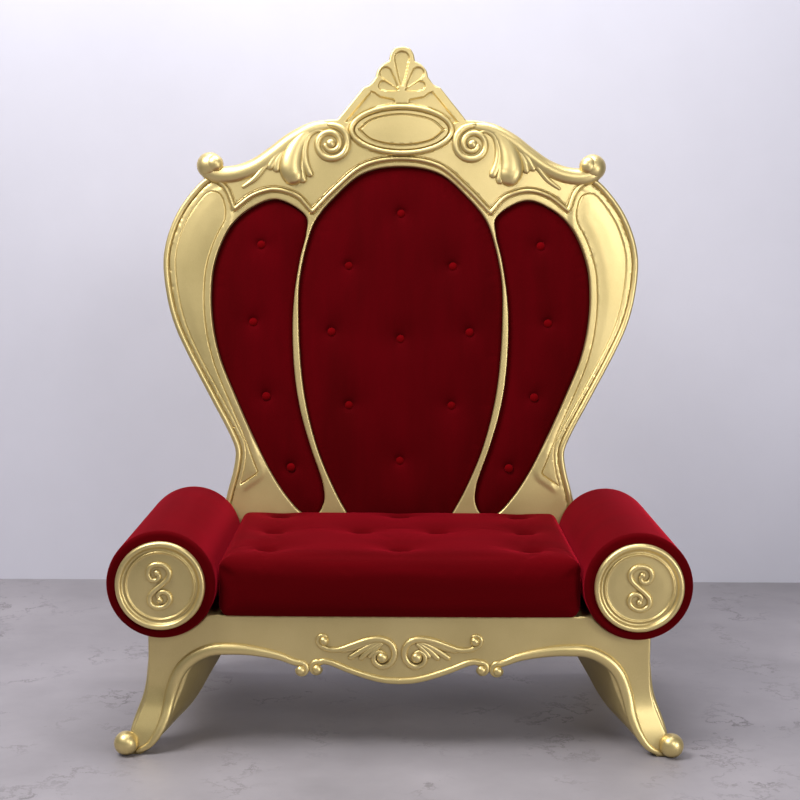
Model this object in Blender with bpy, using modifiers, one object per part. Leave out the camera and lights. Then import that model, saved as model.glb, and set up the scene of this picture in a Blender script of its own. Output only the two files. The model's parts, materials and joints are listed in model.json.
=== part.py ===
"""Crowned throne: a gilt carved frame with velvet pads, seat cushion and arm bolsters.

The throne stands on the floor at z = 0, faces -Y and is the same on both sides of x = 0.
The back is modelled lying flat, face up, in the frame of an empty that stands it up and
leans it back, so every height on it goes through up().
"""
import math

import bmesh
import bpy
from mathutils import Matrix, Vector

# Driving dimensions, in metres.
FRONT = -0.41584              # y of the bolsters' front faces
BASE_TOP = 0.356              # top of the base, where cushion and back stand
SEAT_TOP = 0.508              # top of the seat cushion
LEAN = math.radians(6.0)      # how far the back leans
BACK_DEPTH = 0.674            # from the bolsters' front to the back's face, at BASE_TOP
BACK_THICK = 0.045            # the back's plate
CREST_RISE = 0.010            # how far the crest stands out of the plate
RIM_RISE = 0.0095             # the bolsters end this far before the plate, clear of its bead
PAD_RECESS = 0.030            # depth of the pockets that hold the pads
PAD_SINK = 0.006              # how far the pads' faces lie behind the ribs
GAP = 0.0004                  # clearance between neighbouring pieces

APRON_DEPTH = 0.035           # from the bolsters' front to the apron's face
REAR_DEPTH = 0.745            # from the bolsters' front to the rear rail's face
HALF_WIDTH = 0.650            # half the width of the base
RAIL = 0.040                  # thickness of apron and rails
REAR_RAIL = 0.080             # thickness of the rear rail, which carries the back
RAIL_LOW = 0.275              # lower edge of the side and rear rails at their middle
POST_END = 0.200              # where the rails' ends pass into the legs
STEP = 0.0025                 # how far each joined part of the base lies behind the next
SLAB = 0.020                  # depth of the board in the top of the base
TROUGH_INNER = 0.470          # inner side of the blocks that carry the bolsters
TROUGH_BOTTOM = 0.272         # underside of those blocks
BEAD = 0.013                  # radius of the bead along legs and arches
FOOT_BALL = 0.031             # radius of the ball at each toe

BOLSTER_RADIUS = 0.1413
BOLSTER_X = 0.611
BOLSTER_Z = 0.4415
BOLSTER_EDGE = 0.010          # rounding of the bolster's front edge
CUSHION_HALF = 0.468
CUSHION_DEPTH = 0.020         # from the bolsters' front to the cushion's front
CUSHION_EDGE = 0.024          # rounding of the cushion's edges
MEDALLION_RADIUS = 0.115
BUTTON_RADIUS = 0.013
BUTTON_HALF = 0.004           # half the thickness of a button
TUFT_DEPTH = 0.030            # depth of a dimple in the seat
TUFT_RADIUS = 0.030           # radius of a dimple at its mouth

# Outlines of the back's right half, as (distance from the middle, height above the floor).
FINIAL = [[(0, 1.885), (0.022, 1.880), (0.034, 1.864), (0.039, 1.842)],
          [(0.056, 1.833), (0.073, 1.8136), (0.0786, 1.794)],
          [(0.0957, 1.772), (0.1155, 1.7627)],
          [(0.192, 1.668), (0.2225, 1.666), (0.2655, 1.657), (0.326, 1.627), (0.3785, 1.588),
           (0.4135, 1.5555), (0.461, 1.532), (0.515, 1.520), (0.560, 1.505)]]
FLANK = [(0.587, 1.491), (0.620, 1.455), (0.668, 1.397), (0.694, 1.333), (0.708, 1.265),
         (0.706, 1.195), (0.691, 1.110), (0.672, 1.050), (0.640, 0.980), (0.566, 0.840),
         (0.516, 0.747), (0.495, 0.700), (0.491, 0.680), (0.495, 0.640), (0.514, 0.564),
         (0.535, 0.480), (0.560, 0.400), (0.585, 0.330)]
CENTRE_PAD = [(0, 1.5305), (0.113, 1.510), (0.200, 1.4385), (0.2555, 1.370), (0.281, 1.300),
              (0.3025, 1.192), (0.305, 1.080), (0.296, 0.921), (0.2785, 0.809), (0.244, 0.6835),
              (0.196, 0.571), (0.160, 0.505), (0.130, 0.455)]
SIDE_PAD = [(0.283, 1.380), (0.371, 1.4315), (0.4445, 1.408), (0.5075, 1.353), (0.555, 1.245),
            (0.5656, 1.150), (0.559, 1.051), (0.5375, 0.958), (0.4945, 0.851), (0.4405, 0.730),
            (0.3865, 0.6225), (0.335, 0.545), (0.290, 0.500), (0.250, 0.495), (0.227, 0.530),
            (0.228, 0.580), (0.268, 0.701), (0.2966, 0.801), (0.3147, 0.908), (0.322, 1.049),
            (0.317, 1.150), (0.300, 1.2585), (0.283, 1.330)]
LONG_PANEL = [[(0.576, 1.449), (0.632, 1.376), (0.6727, 1.265), (0.6665, 1.190), (0.644, 1.116),
               (0.610, 0.992), (0.573, 0.915), (0.527, 0.830), (0.491, 0.765), (0.469, 0.712),
               (0.461, 0.665), (0.466, 0.619), (0.480, 0.5815)],
              [(0.433, 0.6137), (0.444, 0.680), (0.473, 0.7615), (0.512, 0.844), (0.5445, 0.915),
               (0.5656, 1.015), (0.5825, 1.0995), (0.5876, 1.184), (0.576, 1.2585),
               (0.5416, 1.333), (0.521, 1.4005), (0.545, 1.440)]]
CREST_EDGE = [[(0, 1.553), (0.113, 1.532), (0.200, 1.462), (0.2655, 1.395)],
              [(0.310, 1.441), (0.3785, 1.460), (0.440, 1.444), (0.497, 1.402)],
              [(0.520, 1.460), (0.560, 1.494)]]
CREST_END = (0.552, 1.490)    # the crest's upper edge stops short of this place
LENS_HALF = [(-0.126, 0), (-0.090, 0.029), (0, 0.0454), (0.090, 0.029), (0.126, 0)]

OVAL_HEIGHT = 1.637           # height of the oval cartouche's centre
OVAL_RING = (0.146, 0.066)    # half axes of its ring's middle line
VOLUTE_CENTRE = (0.211, 1.595)
VOLUTE_RADIUS = 0.047         # outermost turn's middle line
HORN = [(0.188, 1.646, 0.014), (0.2225, 1.648, 0.018), (0.2655, 1.637, 0.022),
        (0.326, 1.604, 0.025), (0.3785, 1.563, 0.027), (0.430, 1.524, 0.029),
        (0.485, 1.502, 0.032), (0.535, 1.503, 0.033), (0.565, 1.520, 0.032)]
HORN_BALL = (0.569, 1.537, 0.037)
LEAF_LOBES = [[(0.262, 1.628, 0.012), (0.284, 1.590, 0.022), (0.307, 1.545, 0.034),
               (0.316, 1.503, 0.034)],
              [(0.262, 1.600, 0.008), (0.268, 1.560, 0.012), (0.269, 1.520, 0.014),
               (0.272, 1.503, 0.012)],
              [(0.300, 1.618, 0.008), (0.340, 1.577, 0.012), (0.362, 1.540, 0.012),
               (0.374, 1.520, 0.010)]]
PALMETTE = [(0, 1.745, 1.869, 0.0255), (28, 1.745, 1.838, 0.0215), (64, 1.739, 1.803, 0.0190)]
BACK_BUTTONS_CENTRE = [(0, 1.391), (0, 1.0195), (0, 0.6575), (0.1555, 1.2355),
                       (0.206, 1.0395), (0.153, 0.822)]
BACK_BUTTONS_SIDE = [(0.417, 1.2965), (0.440, 1.0675), (0.400, 0.847), (0.3255, 0.636)]
SEAT_BUTTONS = [(0.350, 0.150), (0, 0.150), (0.106, 0.380), (0.350, 0.380), (0, 0.610),
                (0.350, 0.610)]

# The base's lower edge, as (distance in from the leg's corner, height).
ARCH = [(0.080, 0.210), (0.112, 0.245), (0.159, 0.269), (0.214, 0.273)]
# Leg sections: height, kick outward, width of each outer face, reach of the inner corner.
LEG = [(0.310, -0.005, 0.150, 0.190), (0.240, -0.005, 0.130, 0.188), (0.208, -0.003, 0.105, 0.174),
       (0.160, 0.002, 0.090, 0.148), (0.125, 0.012, 0.083, 0.136), (0.090, 0.026, 0.082, 0.124),
       (0.057, 0.039, 0.081, 0.110), (0.028, 0.047, 0.074, 0.097), (0.000, 0.046, 0.052, 0.078)]
BALL_KICK = 0.051             # how far the toe ball's centre stands out of the base's corner

GOLD = ((0.80, 0.66, 0.32), 0.36, 0.85)
VELVET = ((0.30, 0.008, 0.018), 0.85, 0.0)


def up(height):
    """Distance up the leaning back's face of a point at this height above the floor."""
    return (height - BASE_TOP) / math.cos(LEAN)


def on_back(pairs):
    """Points (x, height) as flat points on the lying back."""
    return [(x, up(height)) for x, height in pairs]


def smooth(points, step):
    """Points about step apart, on a smooth curve through the given ones."""
    knots = [Vector(point) for point in points]
    padded = [2 * knots[0] - knots[1], *knots, 2 * knots[-1] - knots[-2]]
    result = [knots[0]]
    for before, start, finish, after in zip(padded, padded[1:], padded[2:], padded[3:]):
        count = max(1, round((finish - start).length / step))
        for index in range(1, count + 1):
            t = index / count
            bend = (2 * start + (finish - before) * t
                    + (2 * before - 5 * start + 4 * finish - after) * t ** 2
                    + (3 * start - before - 3 * finish + after) * t ** 3)
            result.append(bend / 2)
    return result


def smooth_ring(points, step):
    """The same for a closed outline."""
    wrapped = smooth([*points[-2:], *points, *points[:2]], step)
    first = min(range(len(wrapped)), key=lambda i: (wrapped[i] - Vector(points[0])).length)
    last = max(i for i, point in enumerate(wrapped)
               if (point - Vector(points[0])).length < 1e-6)
    return wrapped[first:last]


def both_sides(half):
    """A closed outline from its right half, which starts and may end on x = 0."""
    mirrored = [Vector((-point.x, point.y)) for point in reversed(half) if point.x > 1e-6]
    return [*half, *mirrored]


def inset(outline, distance):
    """A closed outline moved inward, or outward by a negative distance, with square corners."""
    following = [*outline[1:], outline[0]]
    area = sum(a.x * b.y - b.x * a.y for a, b in zip(outline, following))
    side = distance * math.copysign(1, area)
    moved = []
    for before, point, after in zip([outline[-1], *outline], outline, following):
        arriving = (point - before).normalized()
        along = (arriving + (after - point).normalized()).normalized()
        reach = side / max(0.4, along.dot(arriving))
        moved.append(point + Vector((-along.y, along.x)) * reach)
    return moved


def flip(points):
    """Points mirrored to the other side of x = 0, in the opposite order."""
    return [Vector((-point[0], *point[1:])) for point in reversed(points)]


def clear_scene():
    for thing in list(bpy.data.objects):
        bpy.data.objects.remove(thing, do_unlink=True)


def new_collection(name):
    collection = bpy.data.collections.new(name)
    bpy.context.scene.collection.children.link(collection)
    return collection


def make_material(name, finish):
    colour, roughness, metallic = finish
    material = bpy.data.materials.new(name)
    material.use_nodes = True
    shader = material.node_tree.nodes["Principled BSDF"]
    shader.inputs["Base Color"].default_value = (*colour, 1.0)
    shader.inputs["Roughness"].default_value = roughness
    shader.inputs["Metallic"].default_value = metallic
    return material


def place(mesh, name, collection, parent=None, material=None):
    """A new object for a mesh, in its collection and under its parent."""
    thing = bpy.data.objects.new(name, mesh)
    collection.objects.link(thing)
    thing.parent = parent
    if material:
        mesh.materials.append(material)
    return thing


def shade(thing, angle=40.0):
    thing.data.shade_smooth()
    thing.data.set_sharp_from_angle(angle=math.radians(angle))


def mesh_of(curve, name):
    """A curve as a welded mesh; the curve itself is removed."""
    carrier = bpy.data.objects.new(name, curve)
    bpy.context.scene.collection.objects.link(carrier)
    bpy.context.view_layer.update()
    evaluated = carrier.evaluated_get(bpy.context.evaluated_depsgraph_get())
    mesh = bpy.data.meshes.new_from_object(evaluated)
    work = bmesh.new()
    work.from_mesh(mesh)
    bmesh.ops.remove_doubles(work, verts=work.verts, dist=1e-5)
    bmesh.ops.recalc_face_normals(work, faces=work.faces)
    work.to_mesh(mesh)
    work.free()
    bpy.data.objects.remove(carrier)
    bpy.data.curves.remove(curve)
    mesh.name = name
    return mesh


def slab(name, outline, low, high, edge=0.0):
    """A flat outline in XY, filled and made solid from z = low to z = high."""
    curve = bpy.data.curves.new(name, "CURVE")
    curve.dimensions = "2D"
    curve.fill_mode = "BOTH"
    curve.extrude = (high - low) / 2 - edge
    curve.bevel_depth = edge
    curve.bevel_resolution = 1
    spline = curve.splines.new("POLY")
    flat = inset(outline, edge) if edge else outline
    spline.points.add(len(flat) - 1)
    for point, target in zip(flat, spline.points):
        target.co = (point[0], point[1], 0.0, 1.0)
    spline.use_cyclic_u = True
    mesh = mesh_of(curve, name)
    mesh.transform(Matrix.Translation((0, 0, (high + low) / 2)))
    return mesh


def tube(name, path, radii, resolution=1):
    """A round rod along a path, with a radius for every point."""
    curve = bpy.data.curves.new(name, "CURVE")
    curve.dimensions = "3D"
    curve.bevel_depth = 1.0
    curve.bevel_resolution = resolution
    curve.use_fill_caps = True
    spline = curve.splines.new("POLY")
    spline.points.add(len(path) - 1)
    for point, radius, target in zip(path, radii, spline.points):
        target.co = (*point, 1.0)
        target.radius = radius
    return mesh_of(curve, name)


def swelling(name, stations, height, flatten, step, resolution=1):
    """A rod through (x, height on the back, radius) stations, pressed flat towards the plate."""
    run = smooth([(x, up(z), radius) for x, z, radius in stations], step)
    mesh = tube(name, [(p.x, p.y, 0.0) for p in run], [p.z for p in run], resolution)
    mesh.transform(Matrix.Translation((0, 0, height)) @ Matrix.Diagonal((1, 1, flatten, 1)))
    return mesh


def ball(name, centre, radii, segments=12, rings=8, turn=0.0):
    """An ellipsoid, turned about the Z axis."""
    work = bmesh.new()
    matrix = (Matrix.Translation(centre) @ Matrix.Rotation(turn, 4, "Z")
              @ Matrix.Diagonal((*radii, 1)))
    bmesh.ops.create_uvsphere(work, u_segments=segments, v_segments=rings, radius=1.0,
                              matrix=matrix)
    mesh = bpy.data.meshes.new(name)
    work.to_mesh(mesh)
    work.free()
    return mesh


def block(name, low, high):
    """A box between two corners."""
    low, high = Vector(low), Vector(high)
    work = bmesh.new()
    matrix = Matrix.Translation((low + high) / 2) @ Matrix.Diagonal((*(high - low), 1))
    bmesh.ops.create_cube(work, size=1.0, matrix=matrix)
    mesh = bpy.data.meshes.new(name)
    work.to_mesh(mesh)
    work.free()
    return mesh


def drum(name, centre, radius, top_radius, length, segments, matrix=None):
    """A round bar or a cone along Z, or along the axis that the matrix turns Z to."""
    work = bmesh.new()
    bmesh.ops.create_cone(work, cap_ends=True, segments=segments, radius1=radius,
                          radius2=top_radius, depth=length,
                          matrix=Matrix.Translation(centre) @ (matrix or Matrix()))
    mesh = bpy.data.meshes.new(name)
    work.to_mesh(mesh)
    work.free()
    return mesh


def helper(mesh, collection, parent=None):
    """A cutter or an addition: it shapes a piece and isn't one itself."""
    thing = place(mesh, mesh.name, collection, parent)
    thing.hide_render = True
    thing.display_type = "WIRE"
    return thing


def combine(thing, collection, operation):
    """Joins every helper of a collection to a piece, or cuts them all out of it."""
    modifier = thing.modifiers.new(collection.name, "BOOLEAN")
    modifier.operand_type = "COLLECTION"
    modifier.operation = operation
    modifier.solver = "EXACT"
    modifier.collection = collection


def back_outline():
    """The whole back, from the finial's top down both flanks."""
    half = []
    for run, step in zip(FINIAL, (0.02, 0.02, 0.02, 0.045)):
        half.extend(smooth(on_back(run), step))
    half.extend(smooth(on_back(FLANK), 0.055))
    return both_sides(half)


def crest_outline():
    """The raised crest: arches over the three pads below, and just inside the top edge above."""
    lower = []
    for run in CREST_EDGE:
        lower.extend(smooth(on_back(run), 0.04))
    edge = [point for point in inset(back_outline(), 0.004)
            if point.x > -1e-6 and point.y > up(CREST_END[1]) and point.x < CREST_END[0]]
    return both_sides([*lower, *reversed(edge)])


def make_back(parts, helpers, back, gold):
    """The carved back: plate, crest, panels and ornament as one solid."""
    frame = place(slab("back_frame", back_outline(), -BACK_THICK, 0.0), "back_frame", parts,
                  back, gold)
    additions = helpers["back_additions"]
    cutters = helpers["back_cutters"]

    helper(slab("crest", crest_outline(), -0.013, CREST_RISE), additions, back)
    for side in (1, -1):
        panel = []
        for run in LONG_PANEL:
            panel.extend(smooth(on_back(run), 0.07))
        panel = panel if side > 0 else flip(panel)
        helper(slab("long_panel", panel, -0.010, 0.006), additions, back)

        rim = smooth([(x - 0.010, up(z), -0.001) for x, z in FLANK[1:-1]], 0.07)
        rim = rim if side > 0 else flip(rim)
        helper(tube("rim_bead", rim, [0.009] * len(rim), 0), additions, back)

        meshes = [swelling("horn", HORN, -0.008, 0.9, 0.06, 2)]
        x, height, radius = HORN_BALL
        meshes.append(ball("horn_ball", (x, up(height), -0.010), (radius, radius, radius), 12, 8))
        for index, stations in enumerate(LEAF_LOBES):
            meshes.append(swelling(f"leaf_{index}", stations, 0.008, 0.62, 0.03, 1))
        meshes.append(volute_mesh())
        x, height = VOLUTE_CENTRE
        meshes.append(ball("volute_eye", (x, up(height), 0.012), (0.014, 0.014, 0.012), 8, 6))
        for mesh in meshes:
            if side < 0:
                mesh.transform(Matrix.Diagonal((-1, 1, 1, 1)))
                mesh.flip_normals()
            helper(mesh, additions, back)

    helper(oval_ring(), additions, back)
    lens_low = [Vector((-x, -y)) for x, y in LENS_HALF[1:-1]]
    lens = [Vector(pair) for pair in LENS_HALF] + lens_low
    lens = [point + Vector((0, up(OVAL_HEIGHT))) for point in lens]
    helper(slab("lens", lens, -0.008, CREST_RISE + 0.006), additions, back)

    for turn, low, high, radius in PALMETTE:
        for side in ((1, -1) if turn else (1,)):
            angle = math.radians(turn) * side
            half = (up(high) - up(low)) / 2
            centre = (math.sin(angle) * half * 1.05, up(low) + math.cos(angle) * half, 0.006)
            helper(ball("palmette", centre, (radius, half, 0.012), 10, 6, -angle), additions, back)

    pockets = [both_sides(smooth(on_back(CENTRE_PAD), 0.06)),
               smooth_ring(on_back(SIDE_PAD), 0.07)]
    pockets.append(flip(pockets[1]))
    for pocket in pockets:
        helper(slab("pocket", inset(pocket, -0.001), -PAD_RECESS, 0.05), cutters, back)
    foot = helper(block("foot_cut", (-1, -0.2, -0.2), (1, 0, 0.2)), cutters, back)
    foot.rotation_euler = (LEAN, 0, 0)
    foot.location = (0, GAP, 0)
    combine(frame, additions, "UNION")
    combine(frame, cutters, "DIFFERENCE")
    return pockets


def volute_mesh():
    """The right volute: a rod that winds inward for a turn and three quarters."""
    x, height = VOLUTE_CENTRE
    turns, count = 1.75, 22
    path, radii = [], []
    for index in range(count):
        share = index / (count - 1)
        angle = math.radians(70) + share * turns * math.tau
        reach = VOLUTE_RADIUS * (1 - 0.78 * share)
        path.append((x + reach * math.cos(angle), up(height) + reach * math.sin(angle), 0.0087))
        radii.append(0.0095 - 0.004 * share)
    return tube("volute", path, radii, 1)


def oval_ring():
    """The cartouche's raised ring."""
    count = 28
    curve = bpy.data.curves.new("oval_ring", "CURVE")
    curve.dimensions = "3D"
    curve.bevel_depth = 0.009
    curve.bevel_resolution = 0
    spline = curve.splines.new("POLY")
    spline.points.add(count - 1)
    for index, point in enumerate(spline.points):
        angle = math.tau * index / count
        point.co = (OVAL_RING[0] * math.cos(angle),
                    up(OVAL_HEIGHT) + OVAL_RING[1] * math.sin(angle),
                    CREST_RISE + 0.0013, 1.0)
    spline.use_cyclic_u = True
    return mesh_of(curve, "oval_ring")


def make_buttons(names, places, collection, parent, velvet):
    """Round flattened buttons that share one mesh."""
    mesh = ball("button", (0, 0, 0), (BUTTON_RADIUS, BUTTON_RADIUS, BUTTON_HALF), 8, 4)
    mesh.materials.append(velvet)
    mesh.shade_smooth()
    for name, location in zip(names, places):
        button = place(mesh, name, collection, parent)
        button.location = location


def button_sides(spots):
    """Spots on both sides of the middle, those on x = 0 once, from the top down."""
    every = [(side * x, height) for x, height in spots for side in ((1, -1) if x else (1,))]
    return sorted(every, key=lambda spot: (-spot[1], spot[0]))


def make_pads(pockets, parts, helpers, back, velvet, button_velvet):
    """The three pads in their pockets, with sockets for their buttons."""
    face = -PAD_SINK
    names = ("back_pad_center", "back_pad_right", "back_pad_left")
    spots = (button_sides(BACK_BUTTONS_CENTRE), BACK_BUTTONS_SIDE,
             [(-x, height) for x, height in BACK_BUTTONS_SIDE])
    for name, pocket, places in zip(names, pockets, spots):
        mesh = slab(name, inset(pocket, GAP), -PAD_RECESS + GAP, face, 0.006)
        pad = place(mesh, name, parts, back, velvet)
        sockets = new_collection(f"{name}_sockets")
        helpers[sockets.name] = sockets
        for x, height in places:
            cutter = drum("socket", (x, up(height), face + 0.008), BUTTON_RADIUS + 0.0008,
                          BUTTON_RADIUS + 0.0008, 2 * (BUTTON_HALF + 0.0005 + 0.008), 12)
            helper(cutter, sockets, back)
        combine(pad, sockets, "DIFFERENCE")
        stem = name.replace("pad", "button")
        labels = [f"{stem}_{index + 1}" for index in range(len(places))]
        make_buttons(labels, [(x, up(height), face) for x, height in places], parts, back,
                     button_velvet)


def leg_mesh(name, side_x, side_y, corner_y):
    """A cabriole leg, lofted through kite-shaped sections that kick outward at the toe."""
    work = bmesh.new()
    rings = []
    stations = [Vector(station) for station in smooth4(LEG, 0.05)]
    for height, kick, width, reach in stations:
        outer = Vector((side_x * (HALF_WIDTH + kick), corner_y + side_y * kick, height))
        steps = ((0, 0), (-width, 0), (-reach, -reach), (0, -width))
        rings.append([work.verts.new(outer + Vector((side_x * dx, side_y * dy, 0)))
                      for dx, dy in steps])
    for above, below in zip(rings, rings[1:]):
        for index in range(4):
            after = (index + 1) % 4
            work.faces.new((above[index], above[after], below[after], below[index]))
    work.faces.new(rings[0])
    work.faces.new(rings[-1])
    bmesh.ops.recalc_face_normals(work, faces=work.faces)
    mesh = bpy.data.meshes.new(name)
    work.to_mesh(mesh)
    work.free()
    return mesh


def smooth4(stations, step):
    """Leg sections on a smooth curve through the given ones, in four numbers each."""
    first = smooth([station[:3] for station in stations], step)
    second = smooth([(station[0], station[3], 0.0) for station in stations], step)
    if len(first) != len(second):
        return stations
    return [(a.x, a.y, a.z, b.y) for a, b in zip(first, second)]


def kick_at(height):
    """How far the leg's corner stands out at a height."""
    for above, below in zip(LEG, LEG[1:]):
        if below[0] <= height <= above[0]:
            share = (height - below[0]) / (above[0] - below[0])
            return below[1] + share * (above[1] - below[1])
    return 0.0


def leg_edge():
    """The bead down a leg's inner edge, as (distance in from the corner, height, radius)."""
    return [(-0.010, 0.010, 0.007), (0.020, 0.040, 0.009), (0.044, 0.090, 0.011),
            (0.060, 0.157, BEAD)]


def curl(centre, radius, start, turns, count):
    """Points of a flat spiral from its outer end inward, as (x, z)."""
    points = []
    for index in range(count):
        share = index / (count - 1)
        angle = start + turns * math.tau * share
        reach = radius * (1 - 0.55 * share)
        points.append((centre[0] + reach * math.cos(angle), centre[1] + reach * math.sin(angle)))
    return points


def make_base(parts, helpers, gold):
    """Apron, rails, legs and carving as one solid."""
    front, rear = FRONT + APRON_DEPTH, FRONT + REAR_DEPTH
    board = block("base_frame", (-HALF_WIDTH + 3 * STEP, front + 2 * STEP, BASE_TOP - SLAB),
                  (HALF_WIDTH - 3 * STEP, rear - 2 * STEP, BASE_TOP - 2 * STEP))
    frame = place(board, "base_frame", parts, None, gold)
    additions = helpers["base_additions"]
    cutters = helpers["base_cutters"]
    upright = Matrix.Rotation(math.pi / 2, 4, "X")

    def plate(name, outline, face_y, thickness):
        mesh = slab(name, outline, -thickness, 0.0)
        mesh.transform(Matrix.Translation((0, face_y, 0)) @ upright)
        helper(mesh, additions)

    arch = [(HALF_WIDTH - reach, height) for reach, height in ARCH]
    apron_low = [(0, 0.1832), (0.039, 0.186), (0.080, 0.1955), (0.132, 0.213), (0.184, 0.2345),
                 (0.213, 0.2385)]
    apron_out = [(0.238, 0.2215), (0.262, 0.2325), (0.309, 0.2475), (0.382, 0.2625),
                 *reversed(arch)]
    post = [Vector((HALF_WIDTH, BASE_TOP)), Vector((HALF_WIDTH, POST_END))]
    low = [*smooth(apron_low, 0.04), *smooth(apron_out, 0.035)]
    plate("apron", both_sides([Vector((0, BASE_TOP)), *post, *reversed(low)]), front, RAIL)
    plain = smooth([(0, RAIL_LOW), (0.20, RAIL_LOW), *reversed(arch)], 0.06)
    rail_outline = both_sides([Vector((0, BASE_TOP)), *post, *reversed(plain)])
    plate("rear_rail", rail_outline, rear - REAR_RAIL, REAR_RAIL)

    middle = (front + rear) / 2
    half_side = (rear - front) / 2 - STEP
    side_low = smooth([(0, RAIL_LOW), *[(half_side - reach, height)
                                     for reach, height in reversed(ARCH)]], 0.05)
    top = BASE_TOP - STEP
    side_outline = both_sides([Vector((0, top)), Vector((half_side, top)),
                               Vector((half_side, POST_END + STEP)), *reversed(side_low)])
    for side in (1, -1):
        mesh = slab("side_rail", side_outline, -RAIL / 2, RAIL / 2)
        turn = Matrix.Rotation(math.pi / 2, 4, "Z")
        shift = Matrix.Translation((side * (HALF_WIDTH - RAIL / 2 - STEP), middle, 0))
        mesh.transform(shift @ turn @ upright)
        helper(mesh, additions)
        inner, outer = sorted((side * TROUGH_INNER, side * (HALF_WIDTH - 4 * STEP)))
        helper(block("trough_block", (inner, front + 3 * STEP, TROUGH_BOTTOM),
                     (outer, rear - 3 * STEP, BASE_TOP - 3 * STEP)), additions)
        for forward, corner in ((-1, front), (1, rear)):
            helper(leg_mesh("leg", side, forward, corner), additions)
            centre = (side * (HALF_WIDTH + BALL_KICK), corner + forward * BALL_KICK,
                      FOOT_BALL + 0.0008)
            helper(ball("toe_ball", centre, (FOOT_BALL,) * 3, 10, 7), additions)
        for mesh in apron_carving(front):
            if side < 0:
                mesh.transform(Matrix.Diagonal((-1, 1, 1, 1)))
                mesh.flip_normals()
            helper(mesh, additions)
        helper(side_bead(side, front, rear), additions)
        saddle = drum("saddle", (side * BOLSTER_X, 0, BOLSTER_Z), BOLSTER_RADIUS + GAP,
                      BOLSTER_RADIUS + GAP, 2.0, 48, upright)
        helper(saddle, cutters)
    helper(rear_bead(rear), additions)
    helper(centre_bead(front), additions)
    combine(frame, additions, "UNION")
    combine(frame, cutters, "DIFFERENCE")


def apron_carving(front):
    """The right half of the apron's bead, curls and scroll ornament."""
    meshes = []
    run = [(HALF_WIDTH - reach, height, radius) for reach, height, radius in leg_edge()]
    run += [(HALF_WIDTH - reach, height, BEAD) for reach, height in ARCH]
    run += [(0.382, 0.2625, 0.011), (0.309, 0.2475, 0.009)]
    run += [(x, z, 0.007) for x, z in curl((0.2565, 0.2145), 0.019, math.radians(60), -0.60, 6)]
    run = smooth(run, 0.035)
    path = [(p.x, front - kick_at(p.y) - 0.001, p.y) for p in run]
    meshes.append(tube("apron_bead", path, [p.z for p in run], 1))
    for x, z in ((0.2565, 0.2065), (0.213, 0.2105)):
        meshes.append(ball("curl_ball", (x, front - 0.004, z), (0.0155, 0.012, 0.0155), 8, 6))

    centre = (0.045, 0.2475)
    run = [(0.198, 0.281, 0.007), (0.192, 0.271, 0.0065), (0.168, 0.264, 0.0065),
           (0.120, 0.278, 0.008), (0.085, 0.287, 0.008), (0.050, 0.280, 0.008)]
    run += [(x, z, 0.0075) for x, z in curl(centre, 0.027, math.radians(130), 0.95, 9)]
    run = smooth(run, 0.03)
    meshes.append(tube("scroll", [(p.x, front - 0.002, p.y) for p in run],
                       [p.z for p in run], 1))
    meshes.append(ball("scroll_eye", (*[centre[0], front - 0.003], centre[1]),
                       (0.011, 0.010, 0.011), 8, 6))
    meshes.append(ball("scroll_tip", (0.199, front - 0.003, 0.287), (0.013, 0.011, 0.013), 8, 6))
    for end_x, end_z in ((0.150, 0.256), (0.122, 0.243), (0.092, 0.241)):
        feather = smooth([(0.075, 0.275, 0.004), ((0.075 + end_x) / 2, (0.280 + end_z) / 2, 0.006),
                          (end_x, end_z, 0.004)], 0.05)
        meshes.append(tube("feather", [(p.x, front - 0.001, p.y) for p in feather],
                           [p.z for p in feather], 0))
    return meshes


def centre_bead(front):
    """The bead under the middle of the apron, from curl to curl."""
    half = [(0, 0.1832), (0.039, 0.186), (0.080, 0.1955), (0.132, 0.213), (0.175, 0.2305),
            *curl((0.213, 0.2205), 0.0175, math.radians(110), -0.50, 6)]
    half = smooth(half, 0.035)
    run = [*flip(half)[:-1], *half]
    return tube("centre_bead", [(p.x, front - 0.001, p.y) for p in run], [0.0075] * len(run), 1)


def side_bead(side, front, rear):
    """The bead that runs down one leg, along the side rail and down the other leg."""
    face = HALF_WIDTH - 0.001
    half = [(reach, height, radius) for reach, height, radius in leg_edge()]
    half += [(reach, height, BEAD) for reach, height in ARCH]
    half = smooth(half, 0.06)
    path = [(side * (face + kick_at(p.y)), front + p.x, p.y) for p in half]
    path += [(side * (face + kick_at(p.y)), rear - p.x, p.y) for p in reversed(half)]
    radii = [p.z for p in half]
    return tube("side_bead", path, [*radii, *reversed(radii)], 0)


def rear_bead(rear):
    """The same along the rear."""
    half = [(HALF_WIDTH - reach, height, radius) for reach, height, radius in leg_edge()]
    half += [(HALF_WIDTH - reach, height, BEAD) for reach, height in ARCH]
    half = smooth(half, 0.06)
    run = [*half, *flip(half)]
    path = [(p.x, rear + kick_at(p.y) + 0.001, p.y) for p in run]
    return tube("rear_bead", path, [p.z for p in run], 0)


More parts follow.
